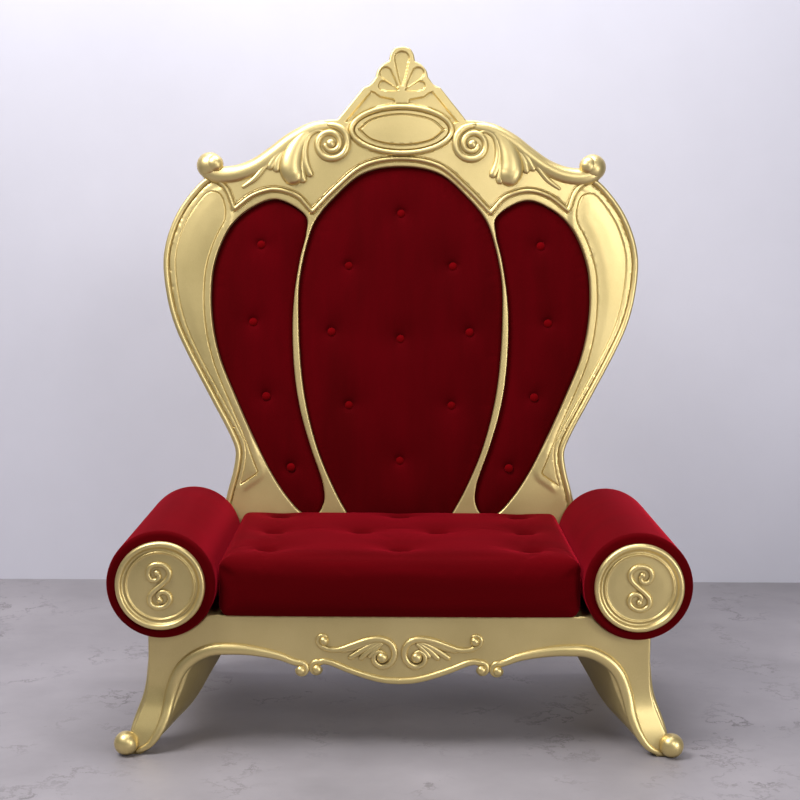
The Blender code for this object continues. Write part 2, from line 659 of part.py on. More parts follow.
def make_cushion(parts, helpers, velvet, button_velvet):
    """The box cushion: rounded edges, a rear face along the back, and tufted dimples."""
    mesh = block("seat_cushion", (-CUSHION_HALF, FRONT + CUSHION_DEPTH, BASE_TOP + GAP),
                 (CUSHION_HALF, FRONT + BACK_DEPTH + 0.1, SEAT_TOP))
    cushion = place(mesh, "seat_cushion", parts, None, velvet)
    rounding = cushion.modifiers.new("rounding", "BEVEL")
    rounding.width = CUSHION_EDGE
    rounding.segments = 3
    tufts = helpers["tufts"]
    spots = [(side * x, depth) for x, depth in SEAT_BUTTONS for side in ((1, -1) if x else (1,))]
    for x, depth in spots:
        cone = drum("tuft", (x, FRONT + depth, SEAT_TOP - TUFT_DEPTH / 2 + 0.001),
                    BUTTON_RADIUS + 0.001, TUFT_RADIUS, TUFT_DEPTH + 0.002, 12)
        helper(cone, tufts)
    combine(cushion, helpers["back_plane"], "DIFFERENCE")
    combine(cushion, tufts, "DIFFERENCE")
    labels = [f"seat_button_{index + 1}" for index in range(len(spots))]
    height = SEAT_TOP - TUFT_DEPTH + BUTTON_HALF + GAP
    make_buttons(labels, [(x, FRONT + depth, height) for x, depth in spots], parts, None,
                 button_velvet)


def make_bolster(name, side, parts, helpers, velvet):
    """A round bolster along Y, cut off behind along the back's face."""
    length = BACK_DEPTH + 0.1
    turn = Matrix.Rotation(math.pi / 2, 4, "X")
    mesh = drum(name, (0, length / 2, 0), BOLSTER_RADIUS, BOLSTER_RADIUS, length, 40, turn)
    bolster = place(mesh, name, parts, None, velvet)
    bolster.location = (side * BOLSTER_X, FRONT, BOLSTER_Z)
    rounding = bolster.modifiers.new("rounding", "BEVEL")
    rounding.width = BOLSTER_EDGE
    rounding.segments = 2
    rounding.limit_method = "ANGLE"
    combine(bolster, helpers["rim_plane"], "DIFFERENCE")
    shade(bolster)


def make_medallion(name, side, parts, helpers, gold):
    """A turned gold disc with a scroll in relief, on a bolster's front face."""
    radius = MEDALLION_RADIUS
    profile = [(0.0, 0.009), (0.080, 0.009), (0.086, 0.0135), (0.091, 0.0085), (0.096, 0.008),
               (0.101, 0.013), (0.108, 0.0155), (radius - 0.001, 0.011), (radius, 0.005),
               (radius - 0.001, 0.0), (0.0, 0.0)]
    mesh = bpy.data.meshes.new(name)
    mesh.from_pydata([(x, 0, z) for x, z in profile],
                     [(index, index + 1) for index in range(len(profile) - 1)], [])
    disc = place(mesh, name, parts, None, gold)
    disc.rotation_euler = (math.pi / 2, 0, 0)
    disc.location = (side * BOLSTER_X, FRONT - GAP, BOLSTER_Z)
    screw = disc.modifiers.new("turning", "SCREW")
    screw.steps = screw.render_steps = 26
    screw.use_merge_vertices = True
    screw.merge_threshold = 0.0001
    carving = new_collection(f"{name}_scroll")
    helpers[carving.name] = carving
    relief = helper(scroll_letter(side), carving, disc)
    relief.location = (0, 0, 0)
    combine(disc, carving, "UNION")
    shade(disc)


def scroll_letter(side):
    """A double scroll: two curls, one above and one below, joined by a slanting stem."""
    half = []
    for index in range(10):
        share = index / 9
        angle = math.radians(-40) + share * math.radians(300)
        reach = 0.026 - 0.012 * share
        half.append((reach * math.cos(angle) * side * -1, 0.030 + reach * math.sin(angle)))
    run = [Vector((-x, -z)) for x, z in reversed(half)] + [Vector(pair) for pair in half]
    path = [(p.x, p.y, 0.010) for p in run]
    radii = [0.0065] * len(path)
    return tube("scroll_relief", path, radii, 1)


def main():
    clear_scene()
    parts = new_collection("throne")
    names = ("back_additions", "back_cutters", "base_additions", "base_cutters", "tufts",
             "back_plane", "rim_plane")
    helpers = {name: new_collection(name) for name in names}
    gold = make_material("gold", GOLD)
    velvet = make_material("velvet", VELVET)
    button_velvet = make_material("button_velvet", VELVET)

    back = bpy.data.objects.new("back", None)
    bpy.context.scene.collection.objects.link(back)
    back.location = (0, FRONT + BACK_DEPTH, BASE_TOP)
    back.rotation_euler = (math.pi / 2 - LEAN, 0, 0)
    helper(block("behind", (-1, -0.5, -1), (1, 1, 0.0012)), helpers["back_plane"], back)
    helper(block("behind_rim", (-1, -0.5, -1), (1, 1, RIM_RISE)), helpers["rim_plane"], back)

    pockets = make_back(parts, helpers, back, gold)
    make_pads(pockets, parts, helpers, back, velvet, button_velvet)
    make_base(parts, helpers, gold)
    make_cushion(parts, helpers, velvet, button_velvet)
    for side, word in ((1, "right"), (-1, "left")):
        make_bolster(f"arm_bolster_{word}", side, parts, helpers, velvet)
        make_medallion(f"arm_medallion_{word}", side, parts, helpers, gold)


main()
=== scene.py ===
# %% [markdown]
# # A crowned throne in gilt wood and red velvet
# The throne is a wide ceremonial chair. A low base on four bent legs carries a thick seat
# cushion and two round arm bolsters, and a tall carved back rises behind them. The solids
# of the frame give every size and place here. This lesson builds the finished surfaces
# around them: carved gold work, stretched velvet, buttons and medallions.

# %% Load the frame
import math

import bmesh
import bpy
import json
import numpy as np
from mathutils import Matrix, Vector
from mathutils.geometry import delaunay_2d_cdt

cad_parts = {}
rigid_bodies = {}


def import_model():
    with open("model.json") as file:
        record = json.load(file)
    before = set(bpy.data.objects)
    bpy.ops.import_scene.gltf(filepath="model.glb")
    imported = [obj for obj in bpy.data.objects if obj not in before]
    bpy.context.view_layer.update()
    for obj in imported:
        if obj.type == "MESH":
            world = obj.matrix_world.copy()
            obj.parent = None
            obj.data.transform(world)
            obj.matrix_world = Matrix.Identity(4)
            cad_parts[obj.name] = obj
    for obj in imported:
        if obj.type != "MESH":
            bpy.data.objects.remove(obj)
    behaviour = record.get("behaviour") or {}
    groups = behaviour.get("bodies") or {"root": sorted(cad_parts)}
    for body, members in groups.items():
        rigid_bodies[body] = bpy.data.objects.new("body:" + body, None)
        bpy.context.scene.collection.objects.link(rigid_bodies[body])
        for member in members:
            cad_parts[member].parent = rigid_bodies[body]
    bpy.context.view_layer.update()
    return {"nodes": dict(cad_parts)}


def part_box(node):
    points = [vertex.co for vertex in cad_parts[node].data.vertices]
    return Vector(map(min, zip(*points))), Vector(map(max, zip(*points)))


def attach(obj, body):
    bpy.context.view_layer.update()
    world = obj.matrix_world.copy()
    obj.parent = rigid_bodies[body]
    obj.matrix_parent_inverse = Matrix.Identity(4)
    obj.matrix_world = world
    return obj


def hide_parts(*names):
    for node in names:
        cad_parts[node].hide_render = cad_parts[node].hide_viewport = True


for leftover in list(bpy.data.objects):
    bpy.data.objects.remove(leftover, do_unlink=True)
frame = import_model()

# %% [markdown]
# ## Measures
# Everything is placed from the frame. The base's box gives the height where cushion and back
# stand, a bolster's box gives its middle and radius, and the bolsters' front is the plane
# that depths are counted from. Only the lean of the back has to be said.

# %% Measures from the frame
LEAN = math.radians(6.0)
_, base_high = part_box("base_frame")
cushion_low, cushion_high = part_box("seat_cushion")
bolster_low, bolster_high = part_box("arm_bolster_right")
BASE_TOP = base_high.z
FRONT = bolster_low.y
BOLSTER_X = (bolster_low.x + bolster_high.x) / 2
BOLSTER_Z = (bolster_low.z + bolster_high.z) / 2
BOLSTER_R = (bolster_high.z - bolster_low.z) / 2
HALF_WIDTH = 0.65
APRON_Y = FRONT + 0.035
REAR_Y = FRONT + 0.745
BACK_Y = FRONT + 0.674
print("bolster middle", round(BOLSTER_X, 3), round(BOLSTER_Z, 3), "radius", round(BOLSTER_R, 4))

# %% [markdown]
# ## Lines and distances
# Carving is drawn as lines. A smooth line through a few points could be a curve object, but
# the relief below needs the distance from every point of the wood to every line, so the
# lines are plain arrays here. The spline is Catmull-Rom, which passes through its points.

# %% Smooth lines
def smooth(points, step):
    """Points about step apart, on a smooth line through the given ones."""
    knots = np.array(points, float)
    padded = np.vstack([2 * knots[0] - knots[1], knots, 2 * knots[-1] - knots[-2]])
    result = [knots[0]]
    for four in zip(padded, padded[1:], padded[2:], padded[3:]):
        count = max(1, round(float(np.linalg.norm(four[2] - four[1])) / step))
        gaps = [max(float(np.linalg.norm(b - a)), 1e-9) ** 0.5 for a, b in zip(four, four[1:])]
        t = np.concatenate([[0], np.cumsum(gaps)])
        for index in range(1, count + 1):
            now = t[1] + (t[2] - t[1]) * index / count
            level = list(four)
            for span in (1, 2, 3):
                spread = range(len(level) - 1)
                ends = [(t[k], t[k + span]) if span < 3 else (t[1], t[2]) for k in spread]
                level = [a + (b - a) * (now - u) / (v - u)
                         for a, b, (u, v) in zip(level, level[1:], ends)]
            result.append(level[0])
    return np.array(result)


def from_middle(points, step):
    """A smooth line that starts level on x = 0, as half of a symmetric one."""
    mirror = (-points[1][0], *points[1][1:])
    run = smooth([mirror, *points], step)
    first = int(np.argmin(np.abs(run - np.array(points[0])).sum(1)))
    return run[first:]


def smooth_ring(points, step):
    """The same for a closed line."""
    knots = [*points[-2:], *points, *points[:3]]
    run = smooth(knots, step)
    gap = np.linalg.norm(run - np.array(points[0]), axis=1)
    return run[int(np.argmin(gap)):int(np.nonzero(gap < 1e-7)[0][-1])]


def up(height):
    """Distance up the leaning back's face of a point at this height."""
    return (height - BASE_TOP) / math.cos(LEAN)


def on_back(pairs):
    return [(x, up(height)) for x, height in pairs]


# %% Offsets, distances and what lies inside
BATCH = 8000


def sideways(line, distance, closed=False):
    """A line moved to its left by a distance."""
    if closed:
        before, after = np.roll(line, 1, 0), np.roll(line, -1, 0)
    else:
        before = np.vstack([line[:1], line[:-1]])
        after = np.vstack([line[1:], line[-1:]])
    along = unit(after - before)
    return line + np.stack([-along[:, 1], along[:, 0]], 1) * distance


def nearest(points, line, closed=False):
    """Distance from each point to a line."""
    starts = line if closed else line[:-1]
    runs = (np.roll(line, -1, 0) if closed else line[1:]) - starts
    lengths = (runs ** 2).sum(1) + 1e-18
    best = []
    for first in range(0, len(points), BATCH):
        part = points[first:first + BATCH, None, :] - starts[None]
        share = np.clip((part * runs).sum(2) / lengths, 0, 1)
        best.append(np.sqrt(((part - share[..., None] * runs) ** 2).sum(2).min(1)))
    return np.concatenate(best)


def inside(points, loop):
    """Which points lie inside a closed line."""
    found = np.zeros(len(points), bool)
    x, y = points[:, 0], points[:, 1]
    for (ax, ay), (bx, by) in zip(loop, np.roll(loop, -1, 0)):
        crosses = (ay > y) != (by > y)
        if ay != by:
            found ^= crosses & (x < (bx - ax) * (y - ay) / (by - ay) + ax)
    return found


def unit(rows):
    """Each row brought to length one."""
    return rows / (np.linalg.norm(rows, axis=1)[:, None] + 1e-12)


def around(sides):
    """Angles of evenly spaced points round a circle."""
    return np.arange(sides) * math.tau / sides


def ease(value):
    """0 below 0, 1 above 1, and a soft step between."""
    value = np.clip(value, 0, 1)
    return value * value * (3 - 2 * value)


def dome(share):
    """A half round over -1 to 1, and 0 outside."""
    return np.sqrt(np.clip(1 - share ** 2, 0, 1))


# %% [markdown]
# ## Meshes from faces, and rods
# A few makers cover the whole throne. `mesh_piece` turns points and faces into an object,
# `ball` makes rounded ends and buttons, and `rod` sweeps a round of changing radius along a
# line, for beads, scrolls and horns. A curve object with a bevel would do that too, but it
# can't be pressed flat or joined to other meshes without being converted, so the sweep is
# made directly.

# %% Makers of meshes
def join(parts):
    """Several (points, faces) as one."""
    points, faces, start = [], [], 0
    for part_points, part_faces in parts:
        points.append(np.asarray(part_points, float))
        faces.extend([tuple(index + start for index in face) for face in part_faces])
        start += len(part_points)
    return np.vstack(points), faces


def mirrored(part):
    points, faces = part
    return points * np.array([-1, 1, 1]), [tuple(reversed(face)) for face in faces]


def mesh_piece(name, part, material, sharp=50.0, weld=0.0):
    """An object from points and faces, shaded smooth with sharp creases."""
    points, faces = part
    mesh = bpy.data.meshes.new(name)
    mesh.from_pydata([tuple(point) for point in points], [], faces)
    work = bmesh.new()
    work.from_mesh(mesh)
    if weld:
        bmesh.ops.remove_doubles(work, verts=work.verts, dist=weld)
    bmesh.ops.recalc_face_normals(work, faces=work.faces)
    work.to_mesh(mesh)
    work.free()
    mesh.materials.append(material)
    mesh.shade_smooth()
    mesh.set_sharp_from_angle(angle=math.radians(sharp))
    piece = bpy.data.objects.new(name, mesh)
    bpy.context.scene.collection.objects.link(piece)
    return piece


def ring_faces(rings, sides, start=0):
    """The quads between rings of points that follow each other."""
    faces = []
    for first in range(start, start + (rings - 1) * sides, sides):
        for side in range(sides):
            a, b = first + side, first + (side + 1) % sides
            faces.append((a, b, b + sides, a + sides))
    return faces


def rod(path, radii, sides=14, flatten=1.0):
    """A round rod along a path with rounded ends; flatten presses it along Z."""
    path, radii = np.asarray(path, float), np.asarray(radii, float)
    along = unit(np.gradient(path, axis=0))
    first = unit(np.cross([[0.0, 0.0, 1.0]], along))
    second = np.cross(along, first)
    caps = [(0.0, -0.95), (0.5, -0.8), (0.82, -0.5)]
    rings = [(path[0] + along[0] * back * radii[0], radii[0] * size, 0) for size, back in caps]
    rings += [(point, radius, index) for index, (point, radius) in enumerate(zip(path, radii))]
    last = len(path) - 1
    rings += [(path[-1] - along[-1] * back * radii[-1], radii[-1] * size, last)
              for size, back in reversed(caps)]
    turns = around(sides)
    points = []
    for centre, radius, index in rings:
        size = max(radius, 1e-5)
        points.append(centre + np.outer(np.cos(turns), first[index]) * size
                      + np.outer(np.sin(turns), second[index]) * size * flatten)
    end = (len(rings) - 1) * sides
    lids = [tuple(reversed(range(sides))), tuple(range(end, end + sides))]
    return np.vstack(points), ring_faces(len(rings), sides) + lids


def ball(centre, radii, sides=28, rings=16):
    """An ellipsoid with its poles along Z."""
    turns = around(sides)
    points = [np.array([[0, 0, radii[2]]])]
    for ring in range(1, rings):
        fall = math.pi * ring / rings
        points.append(np.stack([np.cos(turns) * math.sin(fall) * radii[0],
                                np.sin(turns) * math.sin(fall) * radii[1],
                                np.full(sides, math.cos(fall) * radii[2])], 1))
    points.append(np.array([[0, 0, -radii[2]]]))
    points = np.vstack(points) + np.array(centre)
    faces = [(0, 1 + side, 1 + (side + 1) % sides) for side in range(sides)]
    for ring in range(rings - 2):
        for side in range(sides):
            a, b = 1 + ring * sides + side, 1 + ring * sides + (side + 1) % sides
            faces.append((a, a + sides, b + sides, b))
    end = len(points) - 1
    base = 1 + (rings - 2) * sides
    faces += [(base + (side + 1) % sides, base + side, end) for side in range(sides)]
    return points, faces


def spiral(centre, outer, inner, start, turns, count):
    """Points of a flat spiral from its outer end inward; positive turns run anticlockwise."""
    share = np.linspace(0, 1, count)
    angle = math.radians(start) + share * turns * math.tau
    reach = outer + (inner - outer) * share
    return np.stack([centre[0] + reach * np.cos(angle), centre[1] + reach * np.sin(angle)], 1)


# %% [markdown]
# ## Relief
# The carved boards are a flat outline whose front rises and falls. A grid pushed up and down
# would leave steps along every slanting edge. Here the points follow the carving: rows of
# them run beside each drawn line, a loose grid fills the rest, a Delaunay triangulation joins
# them, and a height rule lifts them. The edge and the rear face are added from the outline.

# %% Relief maker
EDGE_CLEAR = 0.0006
CLOSEST = 0.0011
CELL_SHARE = 0.55
ROW_SHARE = 0.866
SEAM = 0.0008


def thin_out(points, cell):
    """Drops points that share a small square with an earlier one."""
    keys = np.round(points / cell).astype(np.int64)
    _, first = np.unique(keys, axis=0, return_index=True)
    return points[np.sort(first)]


def triangulated(points, bounds, loop, holes):
    """Delaunay triangles between points that keep to the bounds, holes left open."""
    result = delaunay_2d_cdt([Vector(point) for point in points], bounds, [], 0, 1e-7)
    flat, triangles = (np.array([tuple(row) for row in rows]) for rows in (result[0], result[2]))
    middle = flat[triangles].mean(1)
    keep = inside(middle, loop)
    for hole in holes:
        keep &= ~inside(middle, hole)
    return flat, triangles[keep]


def relief(loop, holes, rows, spacing, height, depth, mirror=True):
    """A carved board. loop and holes bound its face, rows are lines of points beside the
    carving, height lifts the points, and depth tells how far behind the face its rear lies."""
    low, high = loop.min(0), loop.max(0)
    grid_x = np.arange(low[0], high[0], spacing)
    grid_y = np.arange(low[1], high[1], spacing * ROW_SHARE)
    fill = np.array([(x + (index % 2) * spacing / 2, y)
                     for index, y in enumerate(grid_y) for x in grid_x])
    drawn = np.vstack(rows) if rows else np.empty((0, 2))
    drawn = drawn[inside(drawn, loop)]
    for hole in holes:
        drawn = drawn[~inside(drawn, hole)]
        fill = fill[~inside(fill, hole)]
    fill = fill[inside(fill, loop)]
    edges = [loop, *holes]
    for line in edges:
        if len(drawn):
            drawn = drawn[nearest(drawn, line, True) > EDGE_CLEAR]
    drawn = thin_out(drawn, CLOSEST)
    marks = np.vstack([drawn, *edges])
    cell = spacing * CELL_SHARE
    cells = {tuple(key) for key in np.round(marks / cell).astype(int)}
    keys = np.round(fill / cell).astype(int)
    fill = fill[[tuple(key) not in cells for key in keys]]
    points = np.vstack([*edges, drawn, fill])
    bounds, start = [], 0
    for line in edges:
        bounds += [(start + i, start + (i + 1) % len(line)) for i in range(len(line))]
        start += len(line)
    flat, triangles = triangulated(points, bounds, loop, holes)
    a, b, c = flat[triangles[:, 0]], flat[triangles[:, 1]], flat[triangles[:, 2]]
    turn = (b[:, 0] - a[:, 0]) * (c[:, 1] - a[:, 1]) - (b[:, 1] - a[:, 1]) * (c[:, 0] - a[:, 0])
    triangles[turn < 0] = triangles[turn < 0][:, ::-1]
    lifted = np.column_stack([flat, height(flat)])
    parts = [(lifted, [tuple(face) for face in triangles])]
    for line in edges:
        top = np.column_stack([line, height(line)])
        following = np.roll(np.arange(len(line)), -1)
        wall = []
        for share in (0.0, 0.25, 0.6, 1.0):
            ring = top.copy()
            ring[:, 2] = top[:, 2] * (1 - share) - depth(line) * share
            wall.append(ring)
        count = len(line)
        faces = []
        for level in range(3):
            for i, after in enumerate(following):
                on_seam = mirror and abs(line[i][0]) < 1e-6 and abs(line[after][0]) < 1e-6
                if not on_seam:
                    p, q = level * count + i, level * count + int(after)
                    faces.append((p, p + count, q + count, q))
        parts.append((np.vstack(wall), faces))
    cover, lids = triangulated(np.vstack(edges), bounds, loop, holes)
    parts.append((np.column_stack([cover, -depth(cover)]), [tuple(face) for face in lids]))
    whole = join(parts)
    return join([whole, mirrored(whole)]) if mirror else whole


def even(depth):
    """The same depth everywhere."""
    return lambda points: np.full(len(points), depth)


def beside(line, offsets, closed=False):
    """Lines of points at these distances on both sides of a line."""
    return [sideways(line, side * offset, closed) for offset in offsets for side in (1, -1)]


def off_seam(rows):
    """Leaves out what lies on or past the middle, where the mirrored half begins."""
    return [row[row[:, 0] > SEAM] for row in rows]


def rounding(distance, radius):
    """How much a rounded edge lies below the face, at a distance from the edge."""
    share = np.clip(1 - distance / radius, 0, 1)
    return radius * (np.sqrt(np.clip(1 - share ** 2, 0, 1)) - 1)


def groove(distance, centre, half, deep):
    return -deep * np.clip(1 - ((distance - centre) / half) ** 2, 0, 1)


def signed(points, line):
    """Distance to a closed line, positive inside it."""
    gap = nearest(points, line, True)
    return np.where(inside(points, line), gap, -gap)


# %% [markdown]
# ## The carved back
# The back is one wide board with a crown-shaped outline. A bead runs round its rim, a long
# sunk panel lies on either flank, ribs part the three pads, and a thicker crest arches over
# them. It could be sculpted, but the lines of such carving are regular, so it is drawn.
# The heights come from the distance to each line: a bead is a half round beside its line,
# and a groove is a small valley beside it. One side is made and mirrored.

# %% Lines of the back
FINIAL = [[(0, 1.885), (0.022, 1.88), (0.034, 1.864), (0.039, 1.842)],
          [(0.039, 1.842), (0.056, 1.833), (0.073, 1.8136), (0.0786, 1.794)],
          [(0.0786, 1.794), (0.0957, 1.772), (0.1155, 1.7627)],
          [(0.1155, 1.7627), (0.192, 1.668)],
          [(0.192, 1.668), (0.2225, 1.666), (0.2655, 1.657), (0.326, 1.627), (0.3785, 1.588),
           (0.4135, 1.5555), (0.461, 1.532), (0.515, 1.52), (0.56, 1.505)],
          [(0.56, 1.505), (0.588, 1.491), (0.623, 1.456), (0.665, 1.397), (0.693, 1.333),
           (0.708, 1.265), (0.706, 1.195), (0.691, 1.11), (0.672, 1.05), (0.64, 0.98),
           (0.566, 0.84), (0.516, 0.747), (0.495, 0.7), (0.491, 0.68), (0.495, 0.64),
           (0.514, 0.564), (0.535, 0.48), (0.56, 0.4), (0.576, 0.3565)]]
CENTRE_PAD = [(0, 1.5305), (0.113, 1.51), (0.2, 1.4385), (0.2555, 1.37), (0.281, 1.3),
              (0.3025, 1.192), (0.305, 1.08), (0.296, 0.921), (0.2785, 0.809), (0.244, 0.6835),
              (0.196, 0.571), (0.16, 0.505), (0.13, 0.455)]
SIDE_PAD = [(0.283, 1.38), (0.371, 1.4315), (0.4445, 1.408), (0.5075, 1.353), (0.555, 1.245),
            (0.5656, 1.15), (0.559, 1.051), (0.5375, 0.958), (0.4945, 0.851), (0.4405, 0.73),
            (0.3865, 0.6225), (0.335, 0.545), (0.29, 0.5), (0.25, 0.495), (0.227, 0.53),
            (0.228, 0.58), (0.268, 0.701), (0.2966, 0.801), (0.3147, 0.908), (0.322, 1.049),
            (0.317, 1.15), (0.3, 1.2585), (0.283, 1.33)]
PANEL_OUTER = [(0.545, 1.44), (0.576, 1.449), (0.632, 1.376), (0.6727, 1.265), (0.6665, 1.19),
               (0.644, 1.116), (0.61, 0.992), (0.573, 0.915), (0.527, 0.83), (0.491, 0.765),
               (0.469, 0.712), (0.461, 0.665), (0.466, 0.619), (0.48, 0.5815)]
PANEL_INNER = [(0.48, 0.5815), (0.433, 0.6137), (0.444, 0.68), (0.473, 0.7615),
               (0.512, 0.844), (0.5445, 0.915), (0.5656, 1.015), (0.5825, 1.0995),
               (0.5876, 1.184), (0.576, 1.2585), (0.5416, 1.333), (0.521, 1.4005),
               (0.545, 1.44)]
CREST_EDGE = [[(0, 1.553), (0.113, 1.532), (0.2, 1.462), (0.2655, 1.395)],
              [(0.2655, 1.395), (0.31, 1.441), (0.3785, 1.46), (0.44, 1.444), (0.497, 1.402)],
              [(0.497, 1.402), (0.52, 1.46), (0.56, 1.494), (0.6, 1.52)]]
CORNER_FIELD = [(0.0915, 1.7535), (0.171, 1.659), (0.154, 1.657), (0.12, 1.682),
                (0.07, 1.705), (0.0185, 1.7155), (0.0205, 1.7285), (0.0645, 1.7375),
                (0.08, 1.7495)]
LENS = [(-0.126, 0), (-0.09, 0.029), (0, 0.0454), (0.09, 0.029), (0.126, 0)]
OVAL_HEIGHT = 1.637
OVAL = (0.157, 0.076)
FINE = 0.0042


def chain(runs, step):
    """Smooth runs that meet at corners, as one line."""
    lines = [(from_middle if run[0][0] == 0 else smooth)(on_back(run), step) for run in runs]
    return np.vstack([lines[0]] + [line[1:] for line in lines[1:]])


def straight(start, finish, step):
    """Evenly spaced points between two ends, without the ends."""
    count = max(2, round(math.dist(start, finish) / step))
    share = np.linspace(0, 1, count + 1)[1:-1, None]
    return np.array(start) * (1 - share) + np.array(finish) * share


rim_line = chain(FINIAL, FINE)
centre_line = from_middle(on_back(CENTRE_PAD), FINE)
side_line = smooth_ring(on_back(SIDE_PAD), FINE)
crest_line = chain(CREST_EDGE, FINE)
crest_region = np.vstack([crest_line, [(0.9, crest_line[-1, 1]), (0.9, 3), (-0.5, 3),
                                       (-0.5, crest_line[0, 1])]])
panel_start = np.vstack([smooth(on_back(PANEL_OUTER), FINE)[:-1],
                         smooth(on_back(PANEL_INNER), FINE)[:-1]])
panel_foot = np.array(on_back([PANEL_INNER[0], PANEL_INNER[1]]))
turn = np.linspace(0, math.tau, 150, endpoint=False)
oval_line = np.stack([OVAL[0] * np.cos(turn), up(OVAL_HEIGHT) + OVAL[1] * np.sin(turn)], 1)
lens_top = smooth(LENS, FINE)
lens_line = np.vstack([lens_top[:-1], (lens_top * [-1, -1])[:-1]]) + [0, up(OVAL_HEIGHT)]
field_line = np.array(on_back(CORNER_FIELD))
field_line = np.vstack([np.vstack([[a], straight(a, b, FINE)])
                        for a, b in zip(field_line, np.roll(field_line, -1, 0))])


def soft_least(first, second, reach):
    """The smaller of two values, with a soft turn where they meet."""
    mix = np.clip(0.5 + 0.5 * (second - first) / reach, 0, 1)
    return second * (1 - mix) + first * mix - reach * mix * (1 - mix)


def panel_room(points):
    """How far inside the long panel a point lies: between rim, rib and crest."""
    low = ease((up(0.76) - points[:, 1]) / 0.16)
    high = ease((points[:, 1] - up(0.95)) / 0.25)
    from_rim = nearest(points, rim_line) - 0.031 - 0.0055 * high
    from_rib = nearest(points, side_line, True) - 0.0215 - 0.011 * low
    crest_gap = nearest(points, crest_line)
    from_crest = np.where(inside(points, crest_region), -crest_gap, crest_gap) - 0.023
    along = panel_foot[1] - panel_foot[0]
    along = along / np.linalg.norm(along)
    from_foot = (points - panel_foot[0]) @ np.array([along[1], -along[0]])
    from_foot = np.where(points[:, 1] > up(0.9), 1.0, from_foot)
    room = soft_least(from_rim, from_rib, 0.012)
    room = soft_least(room, from_crest, 0.04)
    return soft_least(room, from_foot, 0.003)


def settle_line(line, room, rounds=8):
    """Moves a line's points to where room is nought."""
    for _ in range(rounds):
        value = room(line)
        slope_x = (room(line + [1e-4, 0]) - value) / 1e-4
        slope_y = (room(line + [0, 1e-4]) - value) / 1e-4
        size = np.maximum(slope_x ** 2 + slope_y ** 2, 0.25)
        step = np.clip(value, -0.01, 0.01) / size
        line = line - np.stack([slope_x, slope_y], 1) * step[:, None]
    return line


def evened(line, step):
    """A closed line with evenly spaced points."""
    ring = np.vstack([line, line[:1]])
    length = np.concatenate([[0], np.cumsum(np.linalg.norm(np.diff(ring, axis=0), axis=1))])
    places = np.linspace(0, length[-1], round(length[-1] / step), endpoint=False)
    return np.stack([np.interp(places, length, ring[:, axis]) for axis in (0, 1)], 1)


panel_line = evened(settle_line(panel_start, panel_room), FINE)
print("panel from", panel_line.min(0).round(3), "to", panel_line.max(0).round(3))
print("back lines:", len(rim_line), len(centre_line), len(side_line), len(panel_line))

# %% Heights of the back
LOBES = [((0, 1.772), (0, 1.848), 0.006, 0.024),
         ((0.016, 1.766), (0.048, 1.805), 0.0055, 0.02),
         ((0.014, 1.756), (0.055, 1.768), 0.0055, 0.0165)]
CREST_RISE = 0.01
RIM_BEAD, RIM_WIDE = 0.0065, 0.0086
CREST_BEAD, CREST_WIDE = 0.0112, 0.0072
OVAL_BEAD, OVAL_WIDE = 0.007, 0.0075
EDGE_ROUND, POCKET_ROUND = 0.0055, 0.0042


def lobe_depth(points):
    """How deep the fan's hollow lobes are cut."""
    cut = np.zeros(len(points))
    for root, tip, root_size, tip_size in LOBES:
        start, finish = (np.array(on_back([pair])[0]) for pair in (root, tip))
        axis = finish - start
        share = np.clip(((points - start) @ axis) / (axis @ axis), 0, 1)
        size = root_size + (tip_size - root_size) * share ** 0.8
        gap = np.linalg.norm(points - start - share[:, None] * axis, axis=1)
        cut = np.maximum(cut, ease((size - gap) / 0.0045) * 0.0065)
    return cut


def back_height(points):
    """Height of the back's carved face over its plane."""
    at = np.stack([np.abs(points[:, 0]), points[:, 1]], 1)
    rim, crest_gap = nearest(at, rim_line), nearest(at, crest_line)
    crest = np.where(inside(at, crest_region), crest_gap, -crest_gap)
    panel, field = signed(at, panel_line), signed(at, field_line)
    centre, side = nearest(at, centre_line), nearest(at, side_line, True)
    oval, lens = signed(at, oval_line), signed(at, lens_line)
    low = ease((-crest - 0.004) / 0.008)
    height = low * (RIM_BEAD * dome((rim - 0.0088) / RIM_WIDE) + groove(rim, 0.019, 0.002, 0.003)
                    + 0.0012 * ease((rim - 0.0205) / 0.002))
    height += groove(panel, 0.0, 0.0022, 0.0022)
    round_panel = ease(-panel / 0.003) * ease((0.024 + panel) / 0.006)
    height += 0.0022 * round_panel * ease((rim - 0.04) / 0.012)
    height += 0.0015 * ease((panel - 0.002) / 0.035)
    ground = CREST_RISE * ease((crest - 0.0064) / 0.002)
    bead = CREST_BEAD * dome(crest / CREST_WIDE)
    height += np.maximum(ground, bead)
    height += groove(crest, 0.0096, 0.0022, 0.0024) + groove(crest, -0.009, 0.0018, 0.0016)
    ring = OVAL_BEAD * dome((oval - OVAL_WIDE) / OVAL_WIDE) - 0.002 * ease((oval - 0.0145) / 0.001)
    ring += 0.005 * ease((oval - 0.0172) / 0.002) * ease((-lens - 0.002) / 0.002)
    lens_height = 0.0075 * ease(lens / 0.004) + 0.0007 * ease((lens - 0.004) / 0.03)
    in_oval = oval > -0.0002
    height = np.where(in_oval, CREST_RISE + ring + lens_height, height)
    height += groove(oval, -0.0016, 0.002, 0.002) * (crest > 0.006)
    height -= 0.007 * ease(field / 0.0045)
    height -= lobe_depth(at)
    height += rounding(rim, EDGE_ROUND)
    height += rounding(centre, POCKET_ROUND) + rounding(side, POCKET_ROUND)
    return height


